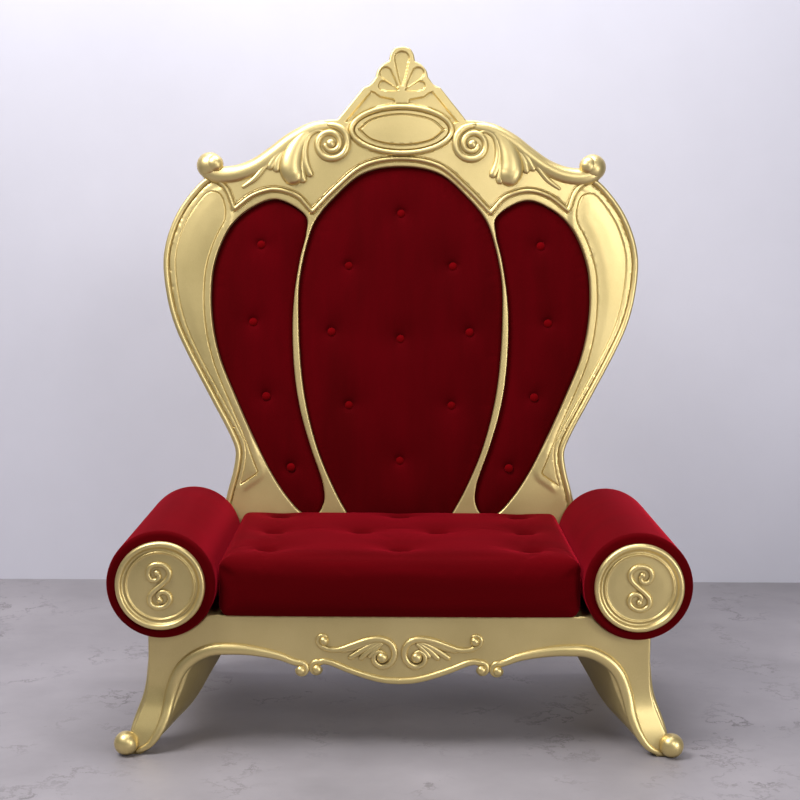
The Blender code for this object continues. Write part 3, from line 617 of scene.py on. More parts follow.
# %% The back's board
BOARD_REAR = 0.032
RIM_ROWS = (0.0004, 0.0012, 0.0026, 0.0045, 0.0068, 0.009, 0.0112, 0.0136, 0.0158, 0.0172,
            0.018, 0.019, 0.02, 0.021)
PAD_ROWS = (0.0004, 0.001, 0.002, 0.0032, 0.0044)
PANEL_ROWS = (0.001, 0.002, 0.0028, 0.0038)
CREST_ROWS = (0.0002, 0.0022, 0.0044, 0.0062, 0.0074, 0.0082, 0.0088, 0.0096, 0.0108, 0.012,
              0.0132)
OVAL_ROWS = (0.0003, 0.0012, 0.003, 0.0052, 0.0075, 0.0098, 0.012, 0.0138, 0.0149, 0.0162,
             0.0178, 0.0192)
rows = beside(rim_line, RIM_ROWS) + beside(centre_line, PAD_ROWS)
rows += beside(side_line, PAD_ROWS, True) + [panel_line]
rows += beside(panel_line, PANEL_ROWS, True) + [crest_line] + beside(crest_line, CREST_ROWS)
rows += beside(oval_line, OVAL_ROWS, True)
rows += [lens_line] + beside(lens_line, (0.001, 0.002, 0.003, 0.0042), True)
rows += [field_line] + beside(field_line, (0.0015, 0.003, 0.0045), True)
fan_x, fan_y = np.meshgrid(np.arange(0.001, 0.085, 0.0022), np.arange(1.722, 1.884, 0.0022))
rows.append(np.stack([fan_x.ravel(), up(1) + (fan_y.ravel() - 1) / math.cos(LEAN)], 1))
rows = off_seam(rows)

seam_top = straight(centre_line[0], rim_line[0], 0.0013)
foot = rim_line[-1, 1]
seam_foot = straight((0, foot), (0, centre_line[-1, 1]), FINE)
foot_run = [rim_line, straight(rim_line[-1], (0, foot), 0.008), [(0, foot)]]
loop = np.vstack([*foot_run, seam_foot,
                  [(0, centre_line[-1, 1])],
                  straight((0, centre_line[-1, 1]), centre_line[-1], 0.008),
                  centre_line[::-1], seam_top])
carving = relief(loop, [side_line], rows, 0.0072, back_height, even(BOARD_REAR))


def stand(part):
    """Puts flat work (x, up the back, height) on the leaning back, clear of the base."""
    points = np.array(part[0], float)
    clear = (0.0004 - points[:, 2] * math.sin(LEAN)) / math.cos(LEAN)
    points[:, 1] = np.maximum(points[:, 1], clear)
    x, s, n = points.T
    y = BACK_Y - n * math.cos(LEAN) + s * math.sin(LEAN)
    z = BASE_TOP + s * math.cos(LEAN) + n * math.sin(LEAN)
    return np.stack([x, y, z], 1), part[1]


outline = np.vstack([*foot_run, straight((0, foot), rim_line[0], 0.008)])
rear_rows = off_seam(beside(rim_line, (0.0008, 0.0025, 0.005, 0.008)))
rear_board = relief(outline, [], rear_rows, 0.03,
                    lambda at: 0.0148 + rounding(nearest(at, rim_line), 0.0075), even(0.0))
rear_points = rear_board[0] * [1, 1, -1] + [0, 0, -0.0302]
board = join([carving, (rear_points, rear_board[1])])
print("back board faces:", len(board[1]))

# %% [markdown]
# ## Horns, scrolls and leaves
# Over the crest's ground lie a smooth horn that ends in an upturned ball, a scroll that winds
# in to a bead, and a soft leaf whose lobes hang from the horn. They are swept rods of
# changing size, half sunk in the board, so that each has its own clear edge and shadow.

# %% The crest's ornament
HORN = [(0.172, 1.64, 0.01), (0.192, 1.648, 0.014), (0.2225, 1.648, 0.018),
        (0.2665, 1.638, 0.0225), (0.327, 1.6055, 0.0245), (0.3795, 1.5645, 0.0255),
        (0.431, 1.5285, 0.0265), (0.485, 1.506, 0.028), (0.535, 1.501, 0.028),
        (0.568, 1.51, 0.027), (0.586, 1.53, 0.024)]
LEAVES = [([(0.27, 1.64, 0.01), (0.3, 1.607, 0.019), (0.322, 1.562, 0.031),
            (0.328, 1.522, 0.036), (0.322, 1.502, 0.034)], 0.62),
          ([(0.232, 1.63, 0.003), (0.252, 1.634, 0.007), (0.2745, 1.62, 0.0085),
            (0.288, 1.583, 0.011), (0.286, 1.54, 0.013), (0.272, 1.506, 0.012)], 0.75),
          ([(0.294, 1.56, 0.009), (0.299, 1.52, 0.014), (0.293, 1.489, 0.013)], 0.75),
          ([(0.3, 1.634, 0.006), (0.345, 1.592, 0.01), (0.376, 1.553, 0.0125),
            (0.391, 1.526, 0.0115)], 0.75),
          ([(0.318, 1.612, 0.005), (0.353, 1.57, 0.0095), (0.368, 1.543, 0.012),
            (0.372, 1.519, 0.011)], 0.75),
          ([(0.385, 1.552, 0.006), (0.408, 1.525, 0.0085), (0.436, 1.491, 0.0085),
            (0.47, 1.466, 0.0055)], 0.8)]
VOLUTE = (0.211, 1.595)


def swelling(stations, height, flatten, sides=18):
    """A swept form through (x, height on the back, radius) stations."""
    run = smooth([(x, up(z), radius) for x, z, radius in stations], 0.006)
    path = np.column_stack([run[:, :2], np.full(len(run), height)])
    return rod(path, np.maximum(run[:, 2], 0.001), sides, flatten)


def volute():
    """A scroll that winds in from the horn's root to its eye."""
    winding = spiral((VOLUTE[0], up(VOLUTE[1])), 0.0515, 0.0165, 163, 1.5, 90)
    lead = [(0.25, 1.65), (0.214, 1.6515), (0.184, 1.642), (0.1665, 1.625)]
    winding = np.vstack([smooth([*on_back(lead), tuple(winding[0])], 0.004)[:-1], winding])
    share = np.linspace(0, 1, len(winding))
    path = np.column_stack([winding, 0.01 + 0.004 * share - 0.016 * ease(1 - share / 0.1)])
    return rod(path, 0.0122 - 0.0048 * share - 0.006 * (1 - ease(share / 0.18)), 18)


ornament = [swelling(HORN, -0.004, 0.95, sides=28)]
ornament += [swelling(stations, 0.01, flatten) for stations, flatten in LEAVES]
ornament += [volute(), ball((VOLUTE[0], up(VOLUTE[1]), 0.013), (0.015, 0.015, 0.012)),
             ball((0.571, up(1.531), -0.006), (0.0395, 0.0395, 0.037), 40, 24),
             ball((0.556, up(1.534), 0.011), (0.027, 0.027, 0.024), 32, 20)]
ornament = join(ornament)
whole_back = stand(join([board, ornament, mirrored(ornament)]))
print("back faces:", len(whole_back[1]))

# %% [markdown]
# ## The base
# The base is a deep frame whose corners run down into four bent legs. From the front the
# apron and the two leg faces are one carved surface, so each side of the base is a board cut
# to that outline, pushed outward towards the toes. Lofts behind the boards give the legs
# their inner faces. Beads, curls and a feathered scroll lie over the boards as swept rods.

# %% Outlines of the base
LEG = [(0.31, 0.000, 0.15, 0.19), (0.24, 0.000, 0.13, 0.188), (0.208, 0.001, 0.105, 0.174),
       (0.16, 0.004, 0.09, 0.148), (0.125, 0.012, 0.083, 0.136), (0.09, 0.026, 0.082, 0.124),
       (0.057, 0.039, 0.076, 0.1), (0.028, 0.047, 0.062, 0.076), (0.012, 0.048, 0.046, 0.052),
       (0.000, 0.047, 0.034, 0.038)]
INNER_EDGE = [(-0.018, 0.0008), (-0.006, 0.014), (0.02, 0.042), (0.044, 0.09),
              (0.06, 0.157), (0.08, 0.206), (0.112, 0.239), (0.159, 0.262), (0.214, 0.266)]
APRON_LOW = [(0.268, 0.262), (0.341, 0.247), (0.388, 0.232), (0.415, 0.221), (0.437, 0.236),
             (0.466, 0.234), (0.518, 0.213), (0.57, 0.1955), (0.611, 0.186), (0.65, 0.1832)]
CRADLE = BOLSTER_R + 0.0004
leg_table = smooth([(-row[0], *row[1:]) for row in LEG], 0.006)
leg_table[:, 0] *= -1


def kick(height):
    """How far a leg stands out of the base's corner at a height."""
    return np.interp(height, leg_table[::-1, 0], leg_table[::-1, 1])


def outer_edge(top, half):
    """The corner's line from a height down to the floor."""
    heights = np.arange(top, 0.0008, -0.006)
    heights = np.append(heights, 0.0008)
    return np.stack([half + kick(heights), heights], 1)


def cradle_arc(half):
    """The hollow that a bolster lies in, from the board's top out to the corner."""
    start = math.asin((BASE_TOP - BOLSTER_Z) / CRADLE)
    start = math.pi - start
    finish = math.pi * 2 - math.acos((half - BOLSTER_X) / CRADLE)
    angle = np.linspace(start, finish, 34)
    return np.stack([BOLSTER_X + CRADLE * np.cos(angle), BOLSTER_Z + CRADLE * np.sin(angle)], 1)


def face_line(lower, half, top_line):
    """Right half of a board's edge: its top, its corner, its leg and its lower edge."""
    corner = outer_edge(top_line[-1][1], half)
    low = smooth([(half - reach, height) for reach, height in lower], 0.005)
    return np.vstack([top_line, corner[1:], low])


def base_board(line, depth):
    """A board inside its edge line, bent outward and thinned towards the toes as its legs are."""
    def height(points):
        return kick(points[:, 1]) + rounding(nearest(points, line), 0.0045)

    def rear(points):
        reach = np.interp(points[:, 1], leg_table[::-1, 0], leg_table[::-1, 3])
        return np.minimum(depth, 0.8 * reach - kick(points[:, 1]))

    rows = off_seam(beside(line, (0.0004, 0.0012, 0.0026, 0.0044, 0.0075)))
    loop = np.vstack([line, straight(line[-1], line[0], 0.005)])
    return relief(loop, [], rows, 0.008, height, rear)


top_run = np.vstack([[(0, BASE_TOP)], straight((0, BASE_TOP), cradle_arc(HALF_WIDTH)[0], 0.008),
                     cradle_arc(HALF_WIDTH)])
front_edge = face_line(INNER_EDGE + APRON_LOW, HALF_WIDTH, top_run)
rear_edge = face_line(INNER_EDGE + [(0.3, 0.275), (0.45, 0.275), (0.65, 0.275)],
                      HALF_WIDTH, top_run)
HALF_SIDE = (REAR_Y - APRON_Y) / 2 - 0.0004
MIDDLE = (REAR_Y + APRON_Y) / 2
side_top = np.vstack([[(0, 0.3045)], straight((0, 0.3045), (HALF_SIDE, 0.3045), 0.008),
                      [(HALF_SIDE, 0.3045)]])
side_edge = face_line(INNER_EDGE + [(HALF_SIDE, 0.275)], HALF_SIDE, side_top)
print("front outline points:", len(front_edge))

# %% Boards and legs
def to_front(part):
    x, z, n = part[0].T
    return np.stack([x, APRON_Y - n, z], 1), part[1]


def to_rear(part):
    x, z, n = part[0].T
    return np.stack([x, REAR_Y + n, z], 1), part[1]


def to_side(part, side):
    y, z, n = part[0].T
    return np.stack([side * (HALF_WIDTH - 0.0004 + n), MIDDLE + y, z], 1), part[1]


def leg_body(side_x, side_y, corner_y):
    """The leg's body: kite sections with softened corners, behind the boards' faces."""
    points = []
    for height, out, width, reach in leg_table:
        height = max(height, 0.0006)
        corner = np.array([HALF_WIDTH - 0.0016 + out, abs(corner_y) - 0.0016 + out])
        kite = np.array([(0, 0), (-width, 0), (-reach, -reach), (0, -width)]) + corner
        ring = []
        for before, point, after in zip(np.roll(kite, 1, 0), kite, np.roll(kite, -1, 0)):
            toward = (before - point) / np.linalg.norm(before - point)
            onward = (after - point) / np.linalg.norm(after - point)
            ring += [point + toward * 0.007, point + (toward + onward) * 0.0022,
                     point + onward * 0.007]
        points += [(side_x * px, side_y * py, height) for px, py in ring]
    count = len(ring)
    lids = [tuple(range(count)), tuple(range(len(points) - count, len(points)))]
    shift = corner_y - side_y * abs(corner_y)
    return np.array(points) + [0, shift, 0], ring_faces(len(leg_table), count) + lids


def prism(loop, low, high):
    """A flat outline (x, z) drawn out along Y."""
    count = len(loop)
    points = np.vstack([np.insert(loop, 1, low, 1), np.insert(loop, 1, high, 1)])
    lids = [tuple(range(count)), tuple(range(count, 2 * count))]
    return points, ring_faces(2, count) + lids


arc = cradle_arc(HALF_WIDTH - 0.01)
block = np.vstack([[(0.47, 0.272), (HALF_WIDTH - 0.01, 0.272)], arc[::-1], [(0.47, BASE_TOP)]])
block[:, 1] = np.minimum(block[:, 1], BASE_TOP - 0.004)
seat_board = np.array([(-0.48, BASE_TOP - 0.02), (0.48, BASE_TOP - 0.02),
                       (0.48, BASE_TOP - 0.0045), (-0.48, BASE_TOP - 0.0045)])
base_parts = [to_front(base_board(front_edge, 0.036)), to_rear(base_board(rear_edge, 0.04)),
              prism(seat_board, APRON_Y + 0.004, REAR_Y - 0.004)]
side_board = base_board(side_edge, 0.038)
for side in (1, -1):
    base_parts.append(to_side(side_board, side))
    trough = prism(block, APRON_Y + 0.006, REAR_Y - 0.006)
    base_parts.append(trough if side > 0 else mirrored(trough))
    for forward, corner in ((-1, APRON_Y), (1, REAR_Y)):
        base_parts.append(leg_body(side, forward, corner))
        centre = (side * (HALF_WIDTH + 0.051), corner + forward * 0.051, 0.0315)
        base_parts.append(ball(centre, (0.031, 0.031, 0.031), 40, 24))
print("base boards:", sum(len(part[1]) for part in base_parts), "faces")

# %% Beads, curls and the apron's scroll
BEAD = [(-0.024, 0.0085, 0.0065), (0.006, 0.024, 0.0085), (0.028, 0.052, 0.011),
        (0.046, 0.092, 0.0135), (0.061, 0.157, 0.016), (0.081, 0.206, 0.0165),
        (0.112, 0.239, 0.0165), (0.159, 0.262, 0.016), (0.214, 0.266, 0.0155)]


def bead_run(half, more):
    """A bead's line on a board, as x, height and radius."""
    return smooth([(half - reach, height, radius) for reach, height, radius in BEAD + more],
                  0.006)


def both_halves(half):
    """A run and its mirror image, which meet on x = 0."""
    return np.vstack([half, (half * [-1, 1, 1])[::-1][1:]])


def on_board(run, place, proud=0.0, sides=16):
    """Sweeps a bead that follows the board's bend."""
    path = np.stack([run[:, 0], run[:, 1], kick(run[:, 1]) + proud], 1)
    return place(rod(path, run[:, 2], sides, 0.8))


def curl(centre, start, turns, radius):
    """The end of a bead, which winds in on itself."""
    winding = spiral(centre, 0.018, 0.0085, start, turns, 40)
    return np.column_stack([winding, np.linspace(radius, radius * 0.75, 40)])


front_run = bead_run(HALF_WIDTH, [(0.268, 0.262, 0.0135), (0.341, 0.247, 0.0105),
                                  (0.372, 0.2345, 0.0092)])
outer_curl = curl((0.255, 0.2125), 62, 0.8, 0.0088)
middle_run = smooth([(0.000, 0.1832, 0.0086), (0.039, 0.186, 0.0086), (0.08, 0.1955, 0.0086),
                     (0.132, 0.213, 0.0084), (0.178, 0.2315, 0.0084), (0.196, 0.235, 0.0084)],
                    0.005)
inner_curl = curl((0.213, 0.2155), 122, -0.8, 0.0084)
trim = [on_board(np.vstack([front_run, outer_curl[1:]]), to_front),
        on_board(np.vstack([middle_run, inner_curl[1:]]), to_front, sides=14),
        to_front(ball((0.255, 0.211, 0.005), (0.013, 0.013, 0.0115), 24, 14)),
        to_front(ball((0.213, 0.214, 0.005), (0.013, 0.013, 0.0115), 24, 14))]
WING = [(0.19, 0.301, 0.0048), (0.2035, 0.3025, 0.0054), (0.211, 0.2915, 0.006),
        (0.2065, 0.2785, 0.0063), (0.192, 0.2695, 0.0065), (0.176, 0.2655, 0.0068),
        (0.1535, 0.2663, 0.0072), (0.1215, 0.277, 0.008), (0.083, 0.29, 0.0086),
        (0.047, 0.2935, 0.0086), (0.0224, 0.282, 0.0086), (0.0125, 0.257, 0.0086),
        (0.0215, 0.232, 0.0084), (0.044, 0.2215, 0.008), (0.064, 0.233, 0.0074),
        (0.065, 0.2515, 0.0068), (0.052, 0.2605, 0.006), (0.041, 0.256, 0.0054)]
FEATHERS = [[(0.05, 0.29, 0.004), (0.09, 0.281, 0.007), (0.12, 0.27, 0.0078),
             (0.146, 0.2625, 0.006)],
            [(0.05, 0.287, 0.004), (0.08, 0.274, 0.0074), (0.105, 0.259, 0.008),
             (0.126, 0.245, 0.0072)],
            [(0.048, 0.284, 0.004), (0.07, 0.27, 0.0072), (0.087, 0.256, 0.0078),
             (0.099, 0.244, 0.0072)],
            [(0.045, 0.281, 0.004), (0.06, 0.268, 0.0066), (0.07, 0.257, 0.007),
             (0.077, 0.2485, 0.0062)]]
trim.append(on_board(smooth(WING, 0.004), to_front, 0.002, 14))
trim.append(to_front(ball((0.0445, 0.246, 0.004), (0.0145, 0.0145, 0.0125), 24, 14)))
trim.append(to_front(ball((0.195, 0.2895, 0.004), (0.0125, 0.0125, 0.012), 24, 14)))
trim += [on_board(smooth(feather, 0.004), to_front, 0.0015, 14) for feather in FEATHERS]
trim = join(trim)
rear_bead = both_halves(bead_run(HALF_WIDTH, [(0.3, 0.2755, 0.012), (0.65, 0.2755, 0.0115)]))
side_bead = both_halves(bead_run(HALF_SIDE, [(HALF_SIDE, 0.2755, 0.012)]))
base_parts += [trim, mirrored(trim), on_board(rear_bead, to_rear)]
for side in (1, -1):
    base_parts.append(on_board(side_bead, lambda part: to_side(part, side)))
whole_base = join(base_parts)
print("base faces:", len(whole_base[1]))

# %% [markdown]
# ## Shader tools
# A material's colour and roughness are worked out from a few masks. Written with nodes by
# hand that takes dozens of lines, so a small class wraps a socket and lets ordinary
# arithmetic add the Math nodes. Colours go through Mix nodes instead, because a Math node
# would turn them grey.

# %% Sockets with arithmetic
class Wire:
    """A socket of a node that can be used in arithmetic."""

    def __init__(self, tree, socket):
        self.tree = tree
        self.socket = socket

    def math(self, operation, *values, clamp=False):
        settings = {"operation": operation, "use_clamp": clamp}
        return self.tree.add("ShaderNodeMath", settings, dict(enumerate(values)))(0)

    def __add__(self, other):
        return self.math("ADD", self, other)

    def __sub__(self, other):
        return self.math("SUBTRACT", self, other)

    def __rsub__(self, other):
        return self.math("SUBTRACT", other, self)

    def __mul__(self, other):
        return self.math("MULTIPLY", self, other)

    def __abs__(self):
        return self.math("ABSOLUTE", self)

    __radd__ = __add__

    def span(self, low, high):
        """0 where the value is at low, 1 at high, and clamped beyond."""
        return self.math("MULTIPLY_ADD", self, 1 / (high - low), -low / (high - low), clamp=True)


class Tree:
    """A material under construction."""

    def __init__(self, name):
        self.material = bpy.data.materials.new(name)
        self.material.use_nodes = True
        self.nodes = self.material.node_tree.nodes
        self.links = self.material.node_tree.links
        self.shader = self.nodes["Principled BSDF"]

    def connect(self, socket, value):
        if isinstance(value, Wire):
            self.links.new(value.socket, socket)
        else:
            socket.default_value = value

    def add(self, kind, settings=None, inputs=None):
        """Adds a node; calling the result with an output's name or number gives its Wire."""
        node = self.nodes.new(kind)
        for name, value in (settings or {}).items():
            setattr(node, name, value)
        for key, value in (inputs or {}).items():
            self.connect(node.inputs[key], value)
        return lambda output: Wire(self, node.outputs[output])

    def noise(self, scale, detail=3.0, rough=0.55, stretch=None):
        place = self.add("ShaderNodeTexCoord")("Object")
        if stretch:
            place = self.add("ShaderNodeVectorMath", {"operation": "MULTIPLY"},
                             {0: place, 1: stretch})("Vector")
        return self.add("ShaderNodeTexNoise", None, {"Vector": place, "Scale": scale,
                                                     "Detail": detail,
                                                     "Roughness": rough})("Fac")

    def blend(self, share, first, second):
        """One colour over another by a share."""
        return self.add("ShaderNodeMix", {"data_type": "RGBA"},
                        {0: share, 6: first, 7: second})(2)

    def bump(self, height, distance, strength=1.0, under=None):
        inputs = {"Height": height, "Distance": distance, "Strength": strength}
        if under:
            inputs["Normal"] = under
        return self.add("ShaderNodeBump", None, inputs)("Normal")

    def finish(self, **sockets):
        for name, value in sockets.items():
            self.connect(self.shader.inputs[name.replace("_", " ")], value)
        return self.material


def tint(red, green, blue):
    """A colour given in everyday 0 to 255 steps, as the linear light a shader wants."""
    linear = [((value / 255 + 0.055) / 1.055) ** 2.4 for value in (red, green, blue)]
    return (*linear, 1.0)


# %% [markdown]
# ## Gold paint and velvet
# The wood is sealed with a fine metallic gold paint: satin, warm and a little patchy. The
# grooves are painted browner, which is painted shade: ambient occlusion finds them.
# Velvet is a deep red with hardly any shine and a pale edge where the pile catches light,
# which is what the shader's sheen is for. Its nap is brushed, so soft streaks run along it.

# %% Gold
DULL_GOLD, GOLD, BRIGHT_GOLD = tint(208, 187, 127), tint(220, 199, 140), tint(236, 216, 156)
# The brown of the painted shade in the grooves.
PAINTED_SHADE_BROWN = tint(100, 74, 31)


def gold_paint():
    tree = Tree("gold_paint")
    patch = tree.noise(5.0, 4.0).span(0.32, 0.7)
    speck = tree.noise(420.0, 2.0)
    # Ambient occlusion finds the grooves for the painted shade below; depth also roughens them.
    hollow = tree.add("ShaderNodeAmbientOcclusion", {"samples": 8}, {"Distance": 0.016})("AO")
    depth = (1 - hollow).span(0.28, 0.95)
    colour = tree.blend(patch, DULL_GOLD, GOLD)
    colour = tree.blend(speck.span(0.35, 0.75) * 0.25, colour, BRIGHT_GOLD)
    # Painted shade: the grooves are blended towards brown.
    colour = tree.blend(depth * 0.68, colour, PAINTED_SHADE_BROWN)
    brushed = tree.noise(34.0, 3.0, 0.6)
    normal = tree.bump(brushed, 0.0006, 0.35)
    normal = tree.bump(speck, 0.0001, 0.4, normal)
    return tree.finish(Base_Color=colour, Metallic=0.82, Roughness=0.36 + patch * 0.07
                       + depth * 0.18, Normal=normal, Coat_Weight=0.12, Coat_Roughness=0.25)


def velvet(name, shade=1.0, stretch=(1.0, 1.0, 1.0)):
    tree = Tree(name)
    nap = tree.noise(9.0, 3.0, 0.6, stretch).span(0.3, 0.72)
    pile = tree.noise(900.0, 2.0)
    dark = (0.07 * shade, 0.0002, 0.0012, 1.0)
    light = (0.098 * shade, 0.0004, 0.0022, 1.0)
    colour = tree.blend(nap, dark, light)
    colour = tree.blend(pile.span(0.3, 0.7) * 0.35, colour, (0.05, 0.0, 0.001, 1.0))
    normal = tree.bump(nap, 0.001, 0.25)
    normal = tree.bump(pile, 0.0002, 0.6, normal)
    return tree.finish(Base_Color=colour, Roughness=0.9 + nap * 0.08, Normal=normal,
                       Sheen_Weight=0.75, Sheen_Roughness=0.34,
                       Sheen_Tint=(0.62, 0.012, 0.035, 1.0), Specular_IOR_Level=0.03)


gold = gold_paint()
seat_velvet = velvet("seat_velvet", 1.0, (0.18, 1.3, 1.0))
back_velvet = velvet("back_velvet", 0.92, (1.2, 1.2, 0.25))
# Painted highlight: the buttons' velvet is 1.7 times brighter than the rest.
button_velvet = velvet("button_velvet", 1.7)
print("materials:", [material.name for material in bpy.data.materials][:8])

# %% Back and base as pieces
def settle(piece, slot, *nodes):
    """Fixes a piece to the throne and stands it in for frame nodes; slot is not used."""
    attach(piece, "root")
    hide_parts(*nodes)


settle(mesh_piece("carved_back", whole_back, gold, 42, 2e-5), "gold", "back_frame")
settle(mesh_piece("carved_base", whole_base, gold, 42, 2e-5), "gold", "base_frame")

# %% [markdown]
# ## Medallions
# A turned gold disc closes the front of each bolster: a rounded rim, a hollow, a fine ring,
# and a flat field with a double scroll on it. Turning a profile makes the disc, and a swept
# rod makes the scroll, which is mirrored on the other side.

# %% Turned discs and their scrolls
PROFILE = [(0.0, 0.0000), (0.11, 0.0000), (0.114, 0.0015), (0.115, 0.005), (0.1146, 0.009),
           (0.1125, 0.013), (0.109, 0.0152), (0.105, 0.0152), (0.1015, 0.0132),
           (0.099, 0.0095), (0.0965, 0.007), (0.0925, 0.0062), (0.0905, 0.0075),
           (0.0893, 0.0105), (0.0875, 0.0112), (0.0858, 0.0104), (0.0846, 0.0082),
           (0.083, 0.0072), (0.06, 0.0076), (0.03, 0.0076), (0.0, 0.0076)]
SCROLL = [(-0.007, 0.034), (-0.0015, 0.025), (-0.008, 0.015), (-0.022, 0.016),
          (-0.03, 0.03), (-0.025, 0.048), (-0.009, 0.056), (0.012, 0.0525),
          (0.0245, 0.037), (0.021, 0.02), (0.0065, 0.005), (-0.011, -0.01),
          (-0.025, -0.027), (-0.0245, -0.045), (-0.009, -0.056), (0.012, -0.053),
          (0.0255, -0.038), (0.0215, -0.021), (0.0065, -0.015), (-0.0045, -0.024),
          (0.0000, -0.037)]


def turned(profile, sides=120):
    """A profile of (radius, height) turned about Z, each stretch smoothed."""
    run = smooth(profile[1:-1], 0.0016)
    angles = around(sides)
    points = [np.array([[0, 0, profile[0][1]]])]
    for radius, height in run:
        points.append(np.stack([np.cos(angles) * radius, np.sin(angles) * radius,
                                np.full(sides, height)], 1))
    points.append(np.array([[0, 0, profile[-1][1]]]))
    faces = ring_faces(len(run), sides, 1)
    last = 1 + (len(run) - 1) * sides
    top = last + sides
    for side in range(sides):
        faces.append((0, 1 + (side + 1) % sides, 1 + side))
        faces.append((last + side, last + (side + 1) % sides, top))
    return np.vstack(points), faces


scroll_run = smooth(SCROLL, 0.0025)
swell = 0.0062 + 0.001 * np.sin(np.linspace(0, math.pi, len(scroll_run)))
scroll = rod(np.column_stack([scroll_run, np.full(len(scroll_run), 0.0092)]), swell, 16)
disc = join([turned(PROFILE), scroll, ball((*SCROLL[0], 0.01), (0.0082, 0.0082, 0.0078)),
             ball((*SCROLL[-1], 0.01), (0.0082, 0.0082, 0.0078))])
for side, word in ((1, "right"), (-1, "left")):
    x, y, z = disc[0].T
    placed = np.stack([BOLSTER_X * side - side * x, FRONT - 0.0004 - z, BOLSTER_Z + y], 1)
    settle(mesh_piece(f"medallion_{word}", (placed, disc[1]), gold, 50, 1e-6), "gold",
           f"arm_medallion_{word}")

# %% [markdown]
# ## Stuffed work
# The seat is a thick box cushion, the back has three crowned pads in pockets, and the arms
# are bolsters. Each starts as a slightly small, smooth closed form. Then the Cloth modifier
# blows it up a little under pressure while the buttons and the hidden faces are held, so
# that the cover swells between the tufts as a stuffed one does. A cap on the movement keeps
# each piece in its place. Sculpting would do this by eye, the simulation by tension.

# %% Inflate with cloth
FRAMES = 20
COVER = {"quality": 4, "mass": 0.3, "tension_stiffness": 12, "compression_stiffness": 12,
         "bending_stiffness": 0.8, "use_pressure": True}


def coordinates(mesh):
    flat = np.empty(len(mesh.vertices) * 3)
    mesh.vertices.foreach_get("co", flat)
    return flat.reshape(-1, 3)


def inflate(piece, held, pressure, cap):
    """Swells a closed cover under pressure; held marks the points that stay."""
    before = coordinates(piece.data)
    group = piece.vertex_groups.new(name="held")
    group.add([int(index) for index in np.nonzero(held)[0]], 1.0, "REPLACE")
    cloth = piece.modifiers.new("cover", "CLOTH")
    for setting, value in COVER.items():
        setattr(cloth.settings, setting, value)
    cloth.settings.uniform_pressure_force = pressure
    cloth.settings.vertex_group_mass = group.name
    cloth.settings.effector_weights.gravity = 0
    cloth.point_cache.frame_end = FRAMES
    for step in range(1, FRAMES + 1):
        bpy.context.scene.frame_set(step)
    result = piece.evaluated_get(bpy.context.evaluated_depsgraph_get())
    move = coordinates(result.data) - before
    length = np.linalg.norm(move, axis=1)
    soft = cap * np.tanh(length / cap) / np.maximum(length, 1e-9)
    piece.modifiers.remove(cloth)
    after = before + move * soft[:, None]
    piece.data.vertices.foreach_set("co", after.ravel())
    piece.vertex_groups.remove(group)
    bpy.context.scene.frame_set(1)
    print(piece.name, "swelled by up to", round(float((length * soft).max()) * 1000, 1), "mm")
    finer = piece.modifiers.new("finer", "SUBSURF")
    finer.levels = finer.render_levels = 1
    piece.data.update()


# %% [markdown]
# ## The seat cushion
# A box of foam, 150 mm thick, with softly rounded edges and ten deep tufts in its top. A
# cube with a Bevel would give the same form with long thin faces, which swell badly, so the
# six sides are woven as even grids and pulled round at the edges.

# %% Seat cushion
SEAT_TUFTS = [(0.35, 0.15), (-0.35, 0.15), (0, 0.15), (0.106, 0.38), (-0.106, 0.38),
              (0.35, 0.38), (-0.35, 0.38), (0, 0.61), (0.35, 0.61), (-0.35, 0.61)]
SEAT_PITS = [(0.027, 0.0155), (0.012, 0.036)]


def marks(low, high, radius, spacing):
    """Places across a side: close together round its edges, even between them."""
    corner = radius * (1 - np.tan(math.pi / 4 * (1 - np.arange(4) / 4)))
    count = max(2, round((high - low - 2 * radius) / spacing))
    return np.concatenate([low + corner, np.linspace(low + radius, high - radius, count + 1),
                           high - corner[::-1]])


def cushion_form(low, high, radius, spacing):
    """A closed box of even grids with rounded edges."""
    low, high = np.array(low), np.array(high)
    axes = [marks(low[axis], high[axis], radius, spacing) for axis in range(3)]
    parts = []
    for axis in range(3):
        first, second = [other for other in range(3) if other != axis]
        a, b = np.meshgrid(axes[first], axes[second], indexing="ij")
        rows, columns = a.shape
        faces = [(i * columns + j, (i + 1) * columns + j, (i + 1) * columns + j + 1,
                  i * columns + j + 1) for i in range(rows - 1) for j in range(columns - 1)]
        for level in (low[axis], high[axis]):
            points = np.empty((a.size, 3))
            points[:, first], points[:, second], points[:, axis] = a.ravel(), b.ravel(), level
            parts.append((points, faces))
    points, faces = join(parts)
    core = np.clip(points, low + radius, high - radius)
    away = points - core
    away /= np.linalg.norm(away, axis=1)[:, None]
    return core + away * radius, faces


SEAT_HALF = 0.4665
HELD_RIM = 0.012
seat_low = (-SEAT_HALF, cushion_low.y + 0.002, BASE_TOP + 0.0008)
seat_high = (SEAT_HALF, BACK_Y - 0.003, cushion_high.z - 0.001)
points, faces = cushion_form(seat_low, seat_high, 0.024, 0.009)
x, y, z = points.T
width_share = np.clip(np.abs(x) / SEAT_HALF, 0, 1)
depth_share = np.clip((y - seat_low[1]) / (seat_high[1] - seat_low[1]), 0, 1)
level = np.clip((z - seat_low[2]) / (seat_high[2] - seat_low[2]), 0, 1)
crown = (1 - width_share ** 4) * (1 - (2 * depth_share - 1) ** 4)
z = z + 0.003 * crown * level ** 3
for tuft_x, depth in SEAT_TUFTS:
    away = np.hypot(x - tuft_x, y - (FRONT + depth))
    z = z - level ** 4 * sum(deep * np.exp(-(away / wide) ** 2) for deep, wide in SEAT_PITS)
y = y - 0.005 * (1 - width_share ** 6) * dome(2 * level - 1) * (1 - ease(depth_share / 0.1))
z = z - 0.011 * ease((APRON_Y - 0.002 - y) / 0.006) * (1 - ease(level / 0.5))
lean_shift = (z - BASE_TOP) * math.tan(LEAN)
y = y + depth_share * lean_shift
